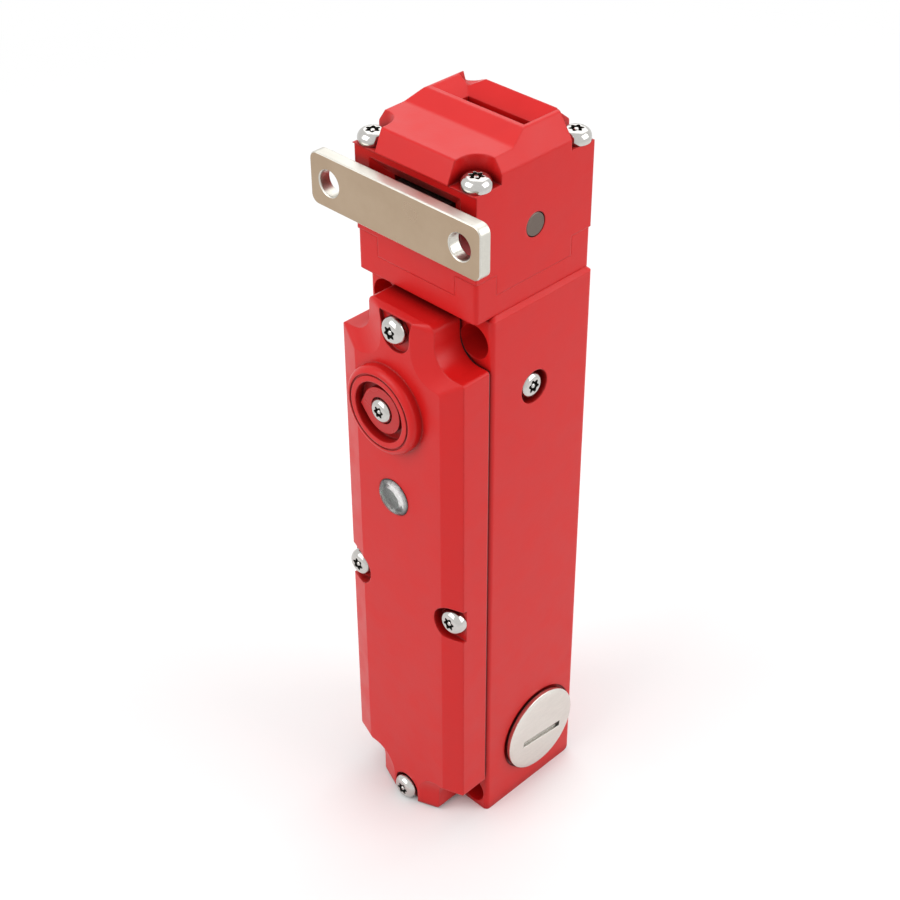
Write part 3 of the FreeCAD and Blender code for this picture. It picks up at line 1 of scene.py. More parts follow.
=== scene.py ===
import math
import bmesh
import bpy
from mathutils import Euler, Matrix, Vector


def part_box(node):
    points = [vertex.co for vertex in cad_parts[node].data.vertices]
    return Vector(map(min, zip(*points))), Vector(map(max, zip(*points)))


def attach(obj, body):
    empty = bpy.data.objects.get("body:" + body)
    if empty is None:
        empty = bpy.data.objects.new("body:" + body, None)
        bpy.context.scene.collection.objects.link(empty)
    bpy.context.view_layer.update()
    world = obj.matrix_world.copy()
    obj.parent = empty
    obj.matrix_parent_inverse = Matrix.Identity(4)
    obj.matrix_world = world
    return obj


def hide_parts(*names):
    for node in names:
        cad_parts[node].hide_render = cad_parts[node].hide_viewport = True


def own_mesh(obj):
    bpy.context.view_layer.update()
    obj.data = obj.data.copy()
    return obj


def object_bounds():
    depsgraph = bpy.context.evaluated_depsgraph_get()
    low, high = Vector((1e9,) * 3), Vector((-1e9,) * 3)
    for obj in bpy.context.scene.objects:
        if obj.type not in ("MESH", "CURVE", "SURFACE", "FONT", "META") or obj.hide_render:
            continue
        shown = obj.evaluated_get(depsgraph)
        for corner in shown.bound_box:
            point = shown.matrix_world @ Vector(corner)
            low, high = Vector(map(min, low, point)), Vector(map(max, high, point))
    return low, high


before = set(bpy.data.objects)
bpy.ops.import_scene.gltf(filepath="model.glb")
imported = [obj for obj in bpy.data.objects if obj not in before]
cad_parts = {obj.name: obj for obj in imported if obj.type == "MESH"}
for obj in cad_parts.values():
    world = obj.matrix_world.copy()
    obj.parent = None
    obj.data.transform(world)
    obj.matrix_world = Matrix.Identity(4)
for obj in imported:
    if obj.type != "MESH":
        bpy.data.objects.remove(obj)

cad_low, cad_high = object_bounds()


# ---- Painted castings --------------------------------------------------------------------
# The casing, cover, head housing and head base are zinc die castings with a red polyester
# powder coat.  The coat lies thinner on sharp edges, and its skin is slightly wavy.  The
# cover's two side pockets open through its face, round the heads of the side screws.

def add_node(tree, kind, settings=None, **inputs):
    """A new shader node with its settings and input values."""
    made = tree.nodes.new(kind)
    for name, value in (settings or {}).items():
        setattr(made, name, value)
    for name, value in inputs.items():
        made.inputs[name.replace("_", " ")].default_value = value
    return made


def noise(tree, place, **inputs):
    """Noise laid out from a position."""
    made = add_node(tree, "ShaderNodeTexNoise", **inputs)
    tree.links.new(place, made.inputs["Vector"])
    return made


def ramp(tree, value, from_low, from_high, to_low=0.0, to_high=1.0):
    """A value carried from one range to another and held at its ends."""
    made = add_node(tree, "ShaderNodeMapRange", {"clamp": True}, From_Min=from_low,
                    From_Max=from_high, To_Min=to_low, To_Max=to_high)
    tree.links.new(value, made.inputs["Value"])
    return made.outputs["Result"]


def calculated(tree, operation, first, second=None, clamp=False):
    """A sum on one or two values, each a number or another node's output."""
    made = add_node(tree, "ShaderNodeMath", {"operation": operation, "use_clamp": clamp})
    for order, value in enumerate((first, second)):
        if isinstance(value, bpy.types.NodeSocket):
            tree.links.new(value, made.inputs[order])
        elif value is not None:
            made.inputs[order].default_value = value
    return made.outputs["Value"]


def two_tone(tree, mask, first, second):
    """A mix driven by a mask, each side a colour or another node's output."""
    mix = add_node(tree, "ShaderNodeMix", {"data_type": "RGBA"})
    tree.links.new(mask, mix.inputs["Factor"])
    for side, tone in (("A", first), ("B", second)):
        if isinstance(tone, bpy.types.NodeSocket):
            tree.links.new(tone, mix.inputs[side])
        else:
            mix.inputs[side].default_value = (*tone, 1.0)
    return mix.outputs["Result"]


def new_group(name, inputs, outputs):
    """An empty shader node group with named sockets."""
    group = bpy.data.node_groups.new(name, "ShaderNodeTree")
    for label, kind, value in inputs:
        socket = group.interface.new_socket(label, in_out="INPUT", socket_type="NodeSocket" + kind)
        socket.default_value = value
    for label, kind in outputs:
        group.interface.new_socket(label, in_out="OUTPUT", socket_type="NodeSocket" + kind)
    start = group.nodes.new("NodeGroupInput")
    end = group.nodes.new("NodeGroupOutput")
    return group, start, end


def use_group(tree, group, **inputs):
    """Places a node group in a material and sets its inputs."""
    made = tree.nodes.new("ShaderNodeGroup")
    made.node_tree = group
    for name, value in inputs.items():
        made.inputs[name.replace("_", " ")].default_value = value
    return made


def skin_group():
    """The waviness and fine grain of a coated or moulded skin."""
    group, start, end = new_group(
        "moulded skin",
        [("Grain Size", "Float", 1400.0), ("Wave Size", "Float", 160.0), ("Grain", "Float", 0.1),
         ("Wave", "Float", 0.1), ("Edge Radius", "Float", 0.0003)],
        [("Normal", "Vector"), ("Tone", "Float")])
    link = group.links.new
    place = add_node(group, "ShaderNodeTexCoord")
    grain = noise(group, place.outputs["Object"], Detail=3.0, Roughness=0.6)
    wave = noise(group, place.outputs["Object"], Detail=2.0, Roughness=0.5)
    link(start.outputs["Grain Size"], grain.inputs["Scale"])
    link(start.outputs["Wave Size"], wave.inputs["Scale"])
    bevel = add_node(group, "ShaderNodeBevel", {"samples": 6})
    link(start.outputs["Edge Radius"], bevel.inputs["Radius"])
    low = add_node(group, "ShaderNodeBump", Distance=0.0006)
    link(start.outputs["Wave"], low.inputs["Strength"])
    link(wave.outputs["Fac"], low.inputs["Height"])
    link(bevel.outputs["Normal"], low.inputs["Normal"])
    fine = add_node(group, "ShaderNodeBump", Distance=0.00012)
    link(start.outputs["Grain"], fine.inputs["Strength"])
    link(grain.outputs["Fac"], fine.inputs["Height"])
    link(low.outputs["Normal"], fine.inputs["Normal"])
    link(fine.outputs["Normal"], end.inputs["Normal"])
    link(wave.outputs["Fac"], end.inputs["Tone"])
    return group


def wear_group():
    """A mask of sharp edges, broken up by noise, where coats thin and metal polishes."""
    group, start, end = new_group(
        "edge wear",
        [("Width", "Float", 0.0004), ("Amount", "Float", 0.5), ("Breakup", "Float", 700.0)],
        [("Mask", "Float")])
    link = group.links.new
    place = add_node(group, "ShaderNodeTexCoord")
    patches = noise(group, place.outputs["Object"], Detail=4.0, Roughness=0.65)
    link(start.outputs["Breakup"], patches.inputs["Scale"])
    bevel = add_node(group, "ShaderNodeBevel", {"samples": 6})
    link(start.outputs["Width"], bevel.inputs["Radius"])
    face = add_node(group, "ShaderNodeNewGeometry")
    turn = add_node(group, "ShaderNodeVectorMath", {"operation": "DOT_PRODUCT"})
    link(bevel.outputs["Normal"], turn.inputs[0])
    link(face.outputs["Normal"], turn.inputs[1])
    edge = ramp(group, turn.outputs["Value"], 0.99, 0.86)
    broken = ramp(group, patches.outputs["Fac"], 0.42, 0.60, to_low=0.15)
    both = calculated(group, "MULTIPLY", edge, broken)
    mask = calculated(group, "MULTIPLY", both, start.outputs["Amount"], clamp=True)
    link(mask, end.inputs["Mask"])
    return group


def painted_shade_group():
    """A mask of deep pockets and inner corners, where shade is painted into the colour."""
    group, start, end = new_group(
        "painted pocket shade",
        [("Reach", "Float", 0.006), ("Amount", "Float", 0.6)],
        [("Mask", "Float")])
    link = group.links.new
    closed = add_node(group, "ShaderNodeAmbientOcclusion", {"samples": 6, "only_local": False})
    link(start.outputs["Reach"], closed.inputs["Distance"])
    depth = ramp(group, closed.outputs["AO"], 0.72, 0.20)
    mask = calculated(group, "MULTIPLY", depth, start.outputs["Amount"], clamp=True)
    link(mask, end.inputs["Mask"])
    return group


skin = skin_group()
wear = wear_group()
painted_shade = painted_shade_group()


def new_material(name):
    """A new material with its node tree and its surface shader."""
    material = bpy.data.materials.new(name)
    material.use_nodes = True
    return material, material.node_tree, material.node_tree.nodes["Principled BSDF"]


def shaded_in_pockets(tree, clean, colour, left, amount, reach):
    """A colour darkened in its deep pockets as painted shade, where only a share of its tone is
    left.
    """
    pockets = use_group(tree, painted_shade, Amount=amount, Reach=reach)
    return two_tone(tree, pockets.outputs["Mask"], clean, tuple(left * c for c in colour))


def skinned(name, colour, second, worn, roughness, grain=0.1, wave=0.1, grain_size=1400.0,
            wear_amount=0.4, edge=0.0003, coat=0.0, gloss=0.5, pocket_shade=0.5):
    """A coated or moulded material: two close tones, worn edges, painted shade in its pockets and
    grain.
    """
    material, tree, shader = new_material(name)
    link = tree.links.new
    body = use_group(tree, skin, Grain_Size=grain_size, Grain=grain, Wave=wave, Edge_Radius=edge)
    edges = use_group(tree, wear, Amount=wear_amount)
    tone = two_tone(tree, body.outputs["Tone"], colour, second)
    clean = two_tone(tree, edges.outputs["Mask"], tone, worn)
    # Painted shade: deep pockets darkened to 0.12 of the colour.
    link(shaded_in_pockets(tree, clean, colour, 0.12, pocket_shade, 0.006), shader.inputs["Base Color"])
    spread = 0.06
    link(ramp(tree, body.outputs["Tone"], 0.3, 0.7, roughness - spread, roughness + spread),
         shader.inputs["Roughness"])
    link(body.outputs["Normal"], shader.inputs["Normal"])
    shader.inputs["Metallic"].default_value = 0.0
    shader.inputs["Coat Weight"].default_value = coat
    shader.inputs["Coat Roughness"].default_value = 0.12
    shader.inputs["Specular IOR Level"].default_value = gloss
    return material


def dress(material, *names):
    """Gives CAD nodes or new pieces a material."""
    for name in names:
        mesh = bpy.data.objects[name].data
        mesh.materials.clear()
        mesh.materials.append(material)


# The coat's deep pockets and holes get strong painted shade.
red_paint = skinned("red_powder_coat", (0.63, 0.009, 0.009), (0.68, 0.012, 0.011),
                    (0.74, 0.05, 0.04), 0.34, grain=0.12, wave=0.10, grain_size=1700.0,
                    wear_amount=0.30, edge=0.0005, gloss=0.30, pocket_shade=0.85)
dress(red_paint, "body_casing", "front_cover", "head_housing", "head_base")


def add_object(name, data):
    """A new object in the scene."""
    made = bpy.data.objects.new(name, data)
    bpy.context.scene.collection.objects.link(made)
    return made


def ring_faces(first, rings, count):
    """Faces of a form through rings of points, with a flat face on each end."""
    faces = []
    for ring in range(rings - 1):
        for k in range(count):
            a = first + ring * count + k
            b = first + ring * count + (k + 1) % count
            faces.append((a, b, b + count, a + count))
    last = first + (rings - 1) * count
    faces.append(tuple(reversed(range(first, first + count))))
    faces.append(tuple(range(last, last + count)))
    return faces


def turn_outward(mesh):
    """Turns the faces of a closed mesh outward."""
    work = bmesh.new()
    work.from_mesh(mesh)
    bmesh.ops.recalc_face_normals(work, faces=work.faces)
    work.to_mesh(mesh)
    work.free()


def pocket_cutter():
    """Two half-round plugs that open the side pockets through the cover's face."""
    points = []
    faces = []
    for side in (-1, 1):
        first = len(points)
        for depth in (pocket_mouth, pocket_floor):
            for step in range(pocket_points):
                angle = math.radians(90 + 180 * step / (pocket_points - 1))
                points.append((side * (side_out + pocket_radius * math.cos(angle)),
                               side_seat - depth,
                               side_height - pocket_drop + pocket_radius * math.sin(angle)))
        faces += ring_faces(first, 2, pocket_points)
    mesh = bpy.data.meshes.new("pocket_cutter")
    mesh.from_pydata(points, [], faces)
    turn_outward(mesh)
    return add_object("pocket_cutter", mesh)


def weld_and_crease(mesh):
    """Joins a copied mesh's loose corners and keeps its creases as sharp edges."""
    slopes = [corner.vector.copy() for corner in mesh.corner_normals]
    work = bmesh.new()
    work.from_mesh(mesh)
    slope = work.loops.layers.float_vector.new("slope")
    corners = [corner for face in work.faces for corner in face.loops]
    for corner, normal in zip(corners, slopes):
        corner[slope] = normal
    bmesh.ops.remove_doubles(work, verts=work.verts, dist=0.000001)
    for edge in work.edges:
        if len(edge.link_loops) == 2:
            one, other = edge.link_loops
            edge.smooth = one[slope].dot(other.link_loop_next[slope]) > 0.995
    work.loops.layers.float_vector.remove(slope)
    work.to_mesh(mesh)
    work.free()
    if "custom_normal" in mesh.attributes:
        mesh.attributes.remove(mesh.attributes["custom_normal"])


def smooth_between_creases(mesh, limit):
    """Shades a mesh smooth and keeps edges that bend more than the limit sharp."""
    work = bmesh.new()
    work.from_mesh(mesh)
    for face in work.faces:
        face.smooth = True
    for edge in work.edges:
        if edge.is_manifold and edge.calc_face_angle() > limit:
            edge.smooth = False
    work.to_mesh(mesh)
    work.free()


low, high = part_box("cover_screws")
head_radius = 0.0035
head_height = 0.0029
side_seat_step = 0.0019
side_screw_rise = 0.0718
side_seat = low[1] + head_height + side_seat_step
side_height = low[2] + side_screw_rise
side_out = high[0] - head_radius
pocket_radius = 0.00488
pocket_drop = 0.0005
pocket_mouth = 0.0040
pocket_floor = 0.0015
pocket_points = 41
cutter = pocket_cutter()

casting = bpy.data.objects["front_cover"].data.copy()
weld_and_crease(casting)
cover = add_object("cover_casting", casting)
cut = cover.modifiers.new("pockets", "BOOLEAN")
cut.operation = "DIFFERENCE"
cut.solver = "EXACT"
cut.object = cutter
evaluated = cover.evaluated_get(bpy.context.evaluated_depsgraph_get())
pocketed = bpy.data.meshes.new_from_object(evaluated)
cover.modifiers.clear()
bpy.data.objects.remove(cutter)
smooth_between_creases(pocketed, math.radians(35))
cover.data = pocketed
even = cover.modifiers.new("even_shading", "WEIGHTED_NORMAL")
even.keep_sharp = True
dress(red_paint, "cover_casting")
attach(cover, "casing")
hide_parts("front_cover")


# ---- Cover gasket and plug seals ---------------------------------------------------------
# Flat black nitrile rubber: one sheet clamped between casing and cover, and a washer under
# each blanking plug.  Dusty and matt.

rubber = skinned("black_rubber", (0.012, 0.012, 0.013), (0.022, 0.021, 0.021), (0.05, 0.05, 0.05),
                 0.62, grain=0.3, grain_size=2600.0, wear_amount=0.3, edge=0.0002)
dress(rubber, "cover_gasket", "plug_seal_left", "plug_seal_right")


# ---- Security screws ---------------------------------------------------------------------
# Button heads of polished stainless steel with a six-lobed socket round a pin.  They hold
# the cover and the head, close the side access and block the manual release.

def drawn_group():
    """The streaks of drawn or turned metal, its faint blotches and its rounded edges."""
    group, start, end = new_group(
        "drawn metal",
        [("Streak", "Vector", (1.0, 1.0, 1.0)), ("Streak Size", "Float", 900.0),
         ("Grain", "Float", 0.1), ("Edge Radius", "Float", 0.0002)],
        [("Normal", "Vector"), ("Streaks", "Float"), ("Blotch", "Float")])
    link = group.links.new
    place = add_node(group, "ShaderNodeTexCoord")
    stretch = add_node(group, "ShaderNodeMapping")
    link(place.outputs["Object"], stretch.inputs["Vector"])
    link(start.outputs["Streak"], stretch.inputs["Scale"])
    lines = noise(group, stretch.outputs["Vector"], Detail=4.0, Roughness=0.6)
    link(start.outputs["Streak Size"], lines.inputs["Scale"])
    blotch = noise(group, place.outputs["Object"], Scale=120.0, Detail=3.0)
    bevel = add_node(group, "ShaderNodeBevel", {"samples": 6})
    link(start.outputs["Edge Radius"], bevel.inputs["Radius"])
    bump = add_node(group, "ShaderNodeBump", Distance=0.0001)
    link(start.outputs["Grain"], bump.inputs["Strength"])
    link(lines.outputs["Fac"], bump.inputs["Height"])
    link(bevel.outputs["Normal"], bump.inputs["Normal"])
    link(bump.outputs["Normal"], end.inputs["Normal"])
    link(lines.outputs["Fac"], end.inputs["Streaks"])
    link(blotch.outputs["Fac"], end.inputs["Blotch"])
    return group


drawn = drawn_group()


def turned_metal(name, colour, worn, roughness, grain=0.1, streak=(1.0, 1.0, 1.0),
                 streak_size=900.0, wear_amount=0.6, edge=0.0002, rough_spread=0.07, pocket_shade=0.6):
    """A bare metal: fine streaks drawn along one direction, polished edges, painted shade in its
    recesses.
    """
    material, tree, shader = new_material(name)
    link = tree.links.new
    body = use_group(tree, drawn, Streak=streak, Streak_Size=streak_size, Grain=grain,
                     Edge_Radius=edge)
    edges = use_group(tree, wear, Amount=wear_amount, Width=edge * 1.5)
    darker = tuple(c * 0.82 for c in colour)
    tone = two_tone(tree, body.outputs["Streaks"], darker, colour)
    clean = two_tone(tree, edges.outputs["Mask"], tone, worn)
    # Painted shade: deep recesses darkened to 0.15 of the colour.
    link(shaded_in_pockets(tree, clean, colour, 0.15, pocket_shade, 0.003), shader.inputs["Base Color"])
    link(ramp(tree, body.outputs["Blotch"], 0.3, 0.7, roughness - rough_spread,
              roughness + rough_spread), shader.inputs["Roughness"])
    link(body.outputs["Normal"], shader.inputs["Normal"])
    shader.inputs["Metallic"].default_value = 1.0
    return material


screw_steel = turned_metal("polished_screw_steel", (0.60, 0.585, 0.56), (0.80, 0.79, 0.77), 0.14,
                           grain=0.05, streak_size=1500.0, edge=0.00015)
# Darker steel for the socket's walls and floor: partly oil, partly painted shade.
socket_shade_steel = turned_metal("oiled_and_shaded_socket", (0.17, 0.16, 0.14), (0.34, 0.32, 0.29), 0.45,
                            grain=0.3, streak_size=2400.0, edge=0.0001)
thread_radius = 0.00195


def lobed(radius, angle):
    """The radius of the six-lobed socket at an angle."""
    return radius * (0.84 + 0.16 * math.cos(6 * angle))


def security_screw(name, body, places, radius=head_radius, height=head_height, shank=thread_radius):
    """Domed screws with a lobed socket and a pin, as one piece that rides on a body.

    Each place gives a screw's seat, the way its head faces, its length and the socket's turn.
    A ring of the profile gives radius, height over the seat and whether it is lobed."""
    sides = 60
    rim = height * 0.34
    hole = radius * 0.50
    floor = height - radius * 0.36
    pin = radius * 0.17
    profile = [(shank, 0.0, False), (radius * 0.97, 0.0, False), (radius, rim * 0.2, False),
               (radius, rim, False)]
    for step in range(1, 8):
        angle = math.radians(step * 11.0)
        profile.append((hole + (radius - hole) * math.cos(angle),
                        rim + (height - rim) * math.sin(angle), False))
    profile.append((hole * 1.12, height * 0.995, False))
    socket_wall = len(profile) + 1
    socket_floor = socket_wall + 1
    profile += [(hole, height * 0.985, True), (hole * 0.95, floor, True), (pin, floor, False),
                (pin, height - radius * 0.08, False), (pin * 0.7, height - radius * 0.03, False)]
    vertices = []
    faces = []
    dark = []
    for seat, axis, length, spin in places:
        turn = Vector((0, 0, 1)).rotation_difference(Vector(axis)).to_matrix()
        first = len(vertices)
        rings = [(shank, -length, False)] + profile
        for span, level, is_lobed in rings:
            for k in range(sides):
                angle = 2 * math.pi * k / sides
                reach = lobed(span, angle - spin) if is_lobed else span
                spot = Vector((reach * math.cos(angle), reach * math.sin(angle), level))
                vertices.append(turn @ spot + Vector(seat))
        faces += ring_faces(first, len(rings), sides)
        # The socket's wall and floor rings take the darker steel, partly painted shade.
        for row in range(len(rings) - 1):
            dark += [row in (socket_wall, socket_floor)] * sides
        dark += [False, False]
    mesh = bpy.data.meshes.new(name)
    mesh.from_pydata(vertices, [], faces)
    mesh.materials.append(screw_steel)
    mesh.materials.append(socket_shade_steel)
    for polygon, is_dark in zip(mesh.polygons, dark):
        polygon.use_smooth = True
        polygon.material_index = 1 if is_dark else 0
    mesh.set_sharp_from_angle(angle=math.radians(38))
    piece = add_object(name, mesh)
    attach(piece, body)
    return piece


low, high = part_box("cover_screws")
tab_seat = low[1] + head_height
forward = (0, -1, 0)
top_length = 0.0130
low_length = 0.0160
side_length = 0.0180
cover_set = security_screw("cover_security_screws", "casing", [
    ((0, tab_seat, high[2] - head_radius), forward, top_length, 0.35),
    ((0, tab_seat, low[2] + head_radius), forward, low_length, 0.10),
    ((-side_out, side_seat, side_height), forward, side_length, 0.80),
    ((side_out, side_seat, side_height), forward, side_length, 0.20)])
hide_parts("cover_screws")

low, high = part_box("head_screws")
left, right = low[0] + head_radius, high[0] - head_radius
front, rear = low[1] + head_radius, high[1] - head_radius
head_seat = high[2] - head_height
head_length = head_seat - low[2]
head_corners = ((left, front, 0.2), (right, front, 0.5), (right, rear, 0.9), (left, rear, 0.7))
head_set = security_screw("head_security_screws", "casing", [
    ((x, y, head_seat), (0, 0, 1), head_length, spin) for x, y, spin in head_corners])
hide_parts("head_screws")

for side, name in ((-1, "left"), (1, "right")):
    low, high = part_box("access_screw_" + name)
    outer = high[0] if side > 0 else low[0]
    inner = low[0] if side > 0 else high[0]
    seat_x = outer - side * head_height
    place = (seat_x, (low[1] + high[1]) / 2, (low[2] + high[2]) / 2)
    access_set = security_screw("access_security_" + name, "casing",
                                [(place, (side, 0, 0), abs(seat_x - inner), 0.3)])
    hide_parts("access_screw_" + name)

low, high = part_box("release_screw")
release_height = 0.0020
release_length = 0.0042
place = ((low[0] + high[0]) / 2, low[1] + release_height, (low[2] + high[2]) / 2)
release_set = security_screw("release_security_screw", "release",
                             [(place, forward, release_length, 0.15)],
                             radius=0.0031, height=release_height, shank=0.0015)
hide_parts("release_screw")


# ---- Actuator ----------------------------------------------------------------------------
# A blanked bar of stainless steel with a windowed tongue fillet-welded to its back.  The flat
# faces are dull tan, partly a stained rolling film and partly a painted warm reflection; the
# sheared edges are bright; the welds are rippled.

bar_steel = turned_metal("rolled_stainless", (0.66, 0.64, 0.58), (0.88, 0.86, 0.82), 0.34,
                         grain=0.22, streak=(0.12, 1.0, 1.0), streak_size=1300.0,
                         wear_amount=0.8, edge=0.00025)
bar_tree = bar_steel.node_tree
bar_colour = bar_tree.nodes["Principled BSDF"].inputs["Base Color"]
bar_bare = bar_colour.links[0].from_socket
bar_place = add_node(bar_tree, "ShaderNodeTexCoord")
bar_facing = add_node(bar_tree, "ShaderNodeSeparateXYZ")
bar_tree.links.new(bar_place.outputs["Normal"], bar_facing.inputs["Vector"])
bar_front = calculated(bar_tree, "ABSOLUTE", bar_facing.outputs["Y"])
bar_flat = ramp(bar_tree, bar_front, 0.85, 0.97)
bar_stain = noise(bar_tree, bar_place.outputs["Object"], Scale=90.0, Detail=5.0, Roughness=0.62)
# Tan on the broad faces: stained film and painted warm reflection together.
bar_film_and_reflection = two_tone(bar_tree, bar_stain.outputs["Fac"], (0.38, 0.275, 0.185), (0.48, 0.37, 0.265))
bar_tree.links.new(two_tone(bar_tree, bar_flat, bar_bare, bar_film_and_reflection), bar_colour)
weld_steel = turned_metal("weld_bead", (0.36, 0.33, 0.30), (0.5, 0.48, 0.45), 0.45, grain=0.8,
                          streak=(1.0, 0.4, 0.4), streak_size=520.0)
dress(bar_steel, "actuator_bar", "actuator_tongue")
dress(weld_steel, "actuator_welds")


# ---- Cam, axle and plunger ---------------------------------------------------------------
# The cam and the lock lever are sintered steel, oiled and dark.  The axle's ends are dull and
# brown.  The lever's pin, the rod, its collar and the solenoid's core are ground steel, and
# the rod runs in a flanged bronze bush.

dark_steel = turned_metal("oiled_sintered_steel", (0.20, 0.19, 0.18), (0.42, 0.41, 0.40), 0.38,
                          grain=0.4, streak_size=1800.0)
ground_steel = turned_metal("ground_steel", (0.50, 0.49, 0.48), (0.72, 0.71, 0.70), 0.24,
                            grain=0.12, streak=(1.0, 1.0, 0.15), streak_size=1600.0)
axle_steel = turned_metal("axle_end", (0.17, 0.135, 0.115), (0.34, 0.29, 0.26), 0.45,
                          grain=0.3, streak_size=1300.0)
bronze = turned_metal("oiled_bronze", (0.46, 0.29, 0.13), (0.66, 0.47, 0.24), 0.33,
                      grain=0.2, streak_size=1500.0)
dress(dark_steel, "drive_cam", "lock_lever")
dress(ground_steel, "lever_pin", "plunger_rod", "lock_collar", "armature", "stop_plug")
dress(axle_steel, "cam_axle")
dress(bronze, "plunger_bush")


# ---- Springs and snap rings --------------------------------------------------------------
# Springs wound from drawn wire with closed ends, one lifting the rod and one the armature,
# and stamped snap rings, all dark from heat treatment.

spring_steel = turned_metal("spring_wire", (0.34, 0.33, 0.32), (0.58, 0.57, 0.56), 0.30,
                            grain=0.15, streak=(1.0, 1.0, 0.3), streak_size=2200.0)
dress(spring_steel, "neck_ring", "release_clip")


def wound_spring(name, node, wire, turns):
    """A coil of round wire with a closed turn at each end, filling the part's box."""
    low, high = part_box(node)
    middle = Vector(((low[0] + high[0]) / 2, (low[1] + high[1]) / 2, 0))
    coil = min(high[0] - low[0], high[1] - low[1]) / 2 - wire
    bottom = low[2] + wire
    top = high[2] - wire
    closed = 2.1 * wire
    rings = 40
    sides = 12
    count = int((turns + 2) * rings)
    vertices = []
    for step in range(count + 1):
        turn = step / rings
        if turn < 1:
            level = bottom + closed * turn
        elif turn > turns + 1:
            level = top - closed * (turns + 2 - turn)
        else:
            level = bottom + closed + (top - bottom - 2 * closed) * (turn - 1) / turns
        angle = 2 * math.pi * turn
        outward = Vector((math.cos(angle), math.sin(angle), 0))
        centre = middle + outward * coil + Vector((0, 0, level))
        for k in range(sides):
            around = 2 * math.pi * k / sides
            rise = Vector((0, 0, math.sin(around)))
            vertices.append(centre + wire * (math.cos(around) * outward + rise))
    mesh = bpy.data.meshes.new(name)
    mesh.from_pydata(vertices, [], ring_faces(0, count + 1, sides))
    turn_outward(mesh)
    for polygon in mesh.polygons:
        polygon.use_smooth = True
    mesh.set_sharp_from_angle(angle=math.radians(50))
    piece = add_object(name, mesh)
    dress(spring_steel, name)
    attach(piece, "casing")
    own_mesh(piece)
    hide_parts(node)


wound_spring("rod_spring", "plunger_spring", 0.00045, 5)
wound_spring("core_spring", "armature_spring", 0.0003, 3)


# ---- Chassis and solenoid ----------------------------------------------------------------
# Folded steel with a pale zinc plate; the coil is wound on a white nylon bobbin and taped in
# yellow polyester.  Pan screws hold the chassis to the casing's back.

zinc = turned_metal("zinc_plate", (0.52, 0.54, 0.57), (0.74, 0.75, 0.77), 0.34, grain=0.2,
                    streak_size=700.0)
nylon = skinned("white_nylon", (0.70, 0.69, 0.64), (0.76, 0.75, 0.71), (0.82, 0.81, 0.78), 0.45)
tape = skinned("coil_tape", (0.50, 0.33, 0.03), (0.58, 0.40, 0.05), (0.66, 0.50, 0.12), 0.30,
               wave=0.3, grain_size=900.0, coat=0.3)
dress(zinc, "chassis", "chassis_screws", "solenoid_yoke", "block_screws")
dress(nylon, "coil_bobbin")
dress(tape, "solenoid_coil")


# ---- Manual release ----------------------------------------------------------------------
# A glass-filled nylon knob, red and slightly glossier than the paint.  It turns in the ringed
# boss of the cover, held by a snap ring behind it and blocked by its own screw.

red_knob = skinned("red_nylon", (0.50, 0.009, 0.010), (0.55, 0.012, 0.012), (0.64, 0.04, 0.03),
                   0.30, grain=0.06, wave=0.06, gloss=0.35, pocket_shade=0.8)
dress(red_knob, "release_cam")


# ---- Indicator ---------------------------------------------------------------------------
# A clear polycarbonate lens pressed into the cover, its face moulded with fine rings and its
# rim painted dark as its recess's shadow.  A small circuit board with the lamp stands behind it.

low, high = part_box("indicator_lens")
lens_middle = ((low[0] + high[0]) / 2, 0.0, (low[2] + high[2]) / 2)
lens_radius = (high[2] - low[2]) / 2
lens_ring_angle = 34.0
lens, lens_tree, lens_shader = new_material("clear_polycarbonate")
link = lens_tree.links.new
lens_skin = use_group(lens_tree, skin, Grain_Size=900.0, Grain=0.03, Wave=0.10, Edge_Radius=0.0002)
lens_place = add_node(lens_tree, "ShaderNodeTexCoord")
lens_flat = add_node(lens_tree, "ShaderNodeVectorMath", {"operation": "MULTIPLY"})
lens_flat.inputs[1].default_value = (1.0, 0.0, 1.0)
lens_reach = add_node(lens_tree, "ShaderNodeVectorMath", {"operation": "DISTANCE"})
lens_reach.inputs[1].default_value = lens_middle
link(lens_place.outputs["Object"], lens_flat.inputs[0])
link(lens_flat.outputs["Vector"], lens_reach.inputs[0])
lens_share = calculated(lens_tree, "DIVIDE", lens_reach.outputs["Value"], lens_radius)
lens_rim_shade = ramp(lens_tree, lens_share, 0.80, 0.97)
lens_turns = calculated(lens_tree, "MULTIPLY", lens_share, lens_ring_angle)
lens_rings = calculated(lens_tree, "SINE", lens_turns)
lens_bump = add_node(lens_tree, "ShaderNodeBump", Strength=0.10, Distance=0.00008)
link(lens_rings, lens_bump.inputs["Height"])
link(lens_skin.outputs["Normal"], lens_bump.inputs["Normal"])
lens_clear = two_tone(lens_tree, lens_skin.outputs["Tone"], (0.80, 0.80, 0.79), (0.88, 0.87, 0.86))
# Painted shadow: the rim's outer band darkened to near black.
lens_tone = two_tone(lens_tree, lens_rim_shade, lens_clear, (0.05, 0.04, 0.04))
link(lens_tone, lens_shader.inputs["Base Color"])
link(lens_bump.outputs["Normal"], lens_shader.inputs["Normal"])
lens_shader.inputs["Roughness"].default_value = 0.03
lens_shader.inputs["Transmission Weight"].default_value = 0.95
lens_shader.inputs["IOR"].default_value = 1.5
dress(lens, "indicator_lens")

board = skinned("green_board", (0.015, 0.16, 0.05), (0.02, 0.20, 0.07), (0.25, 0.30, 0.15), 0.35,
                wave=0.2, coat=0.2)
dress(board, "indicator_board")


# ---- Contact block -----------------------------------------------------------------------
# Black glass-filled moulding with bent brass strips, a brass bridge and brass screws.  The
# bridge hangs in a cream slide under the rod.

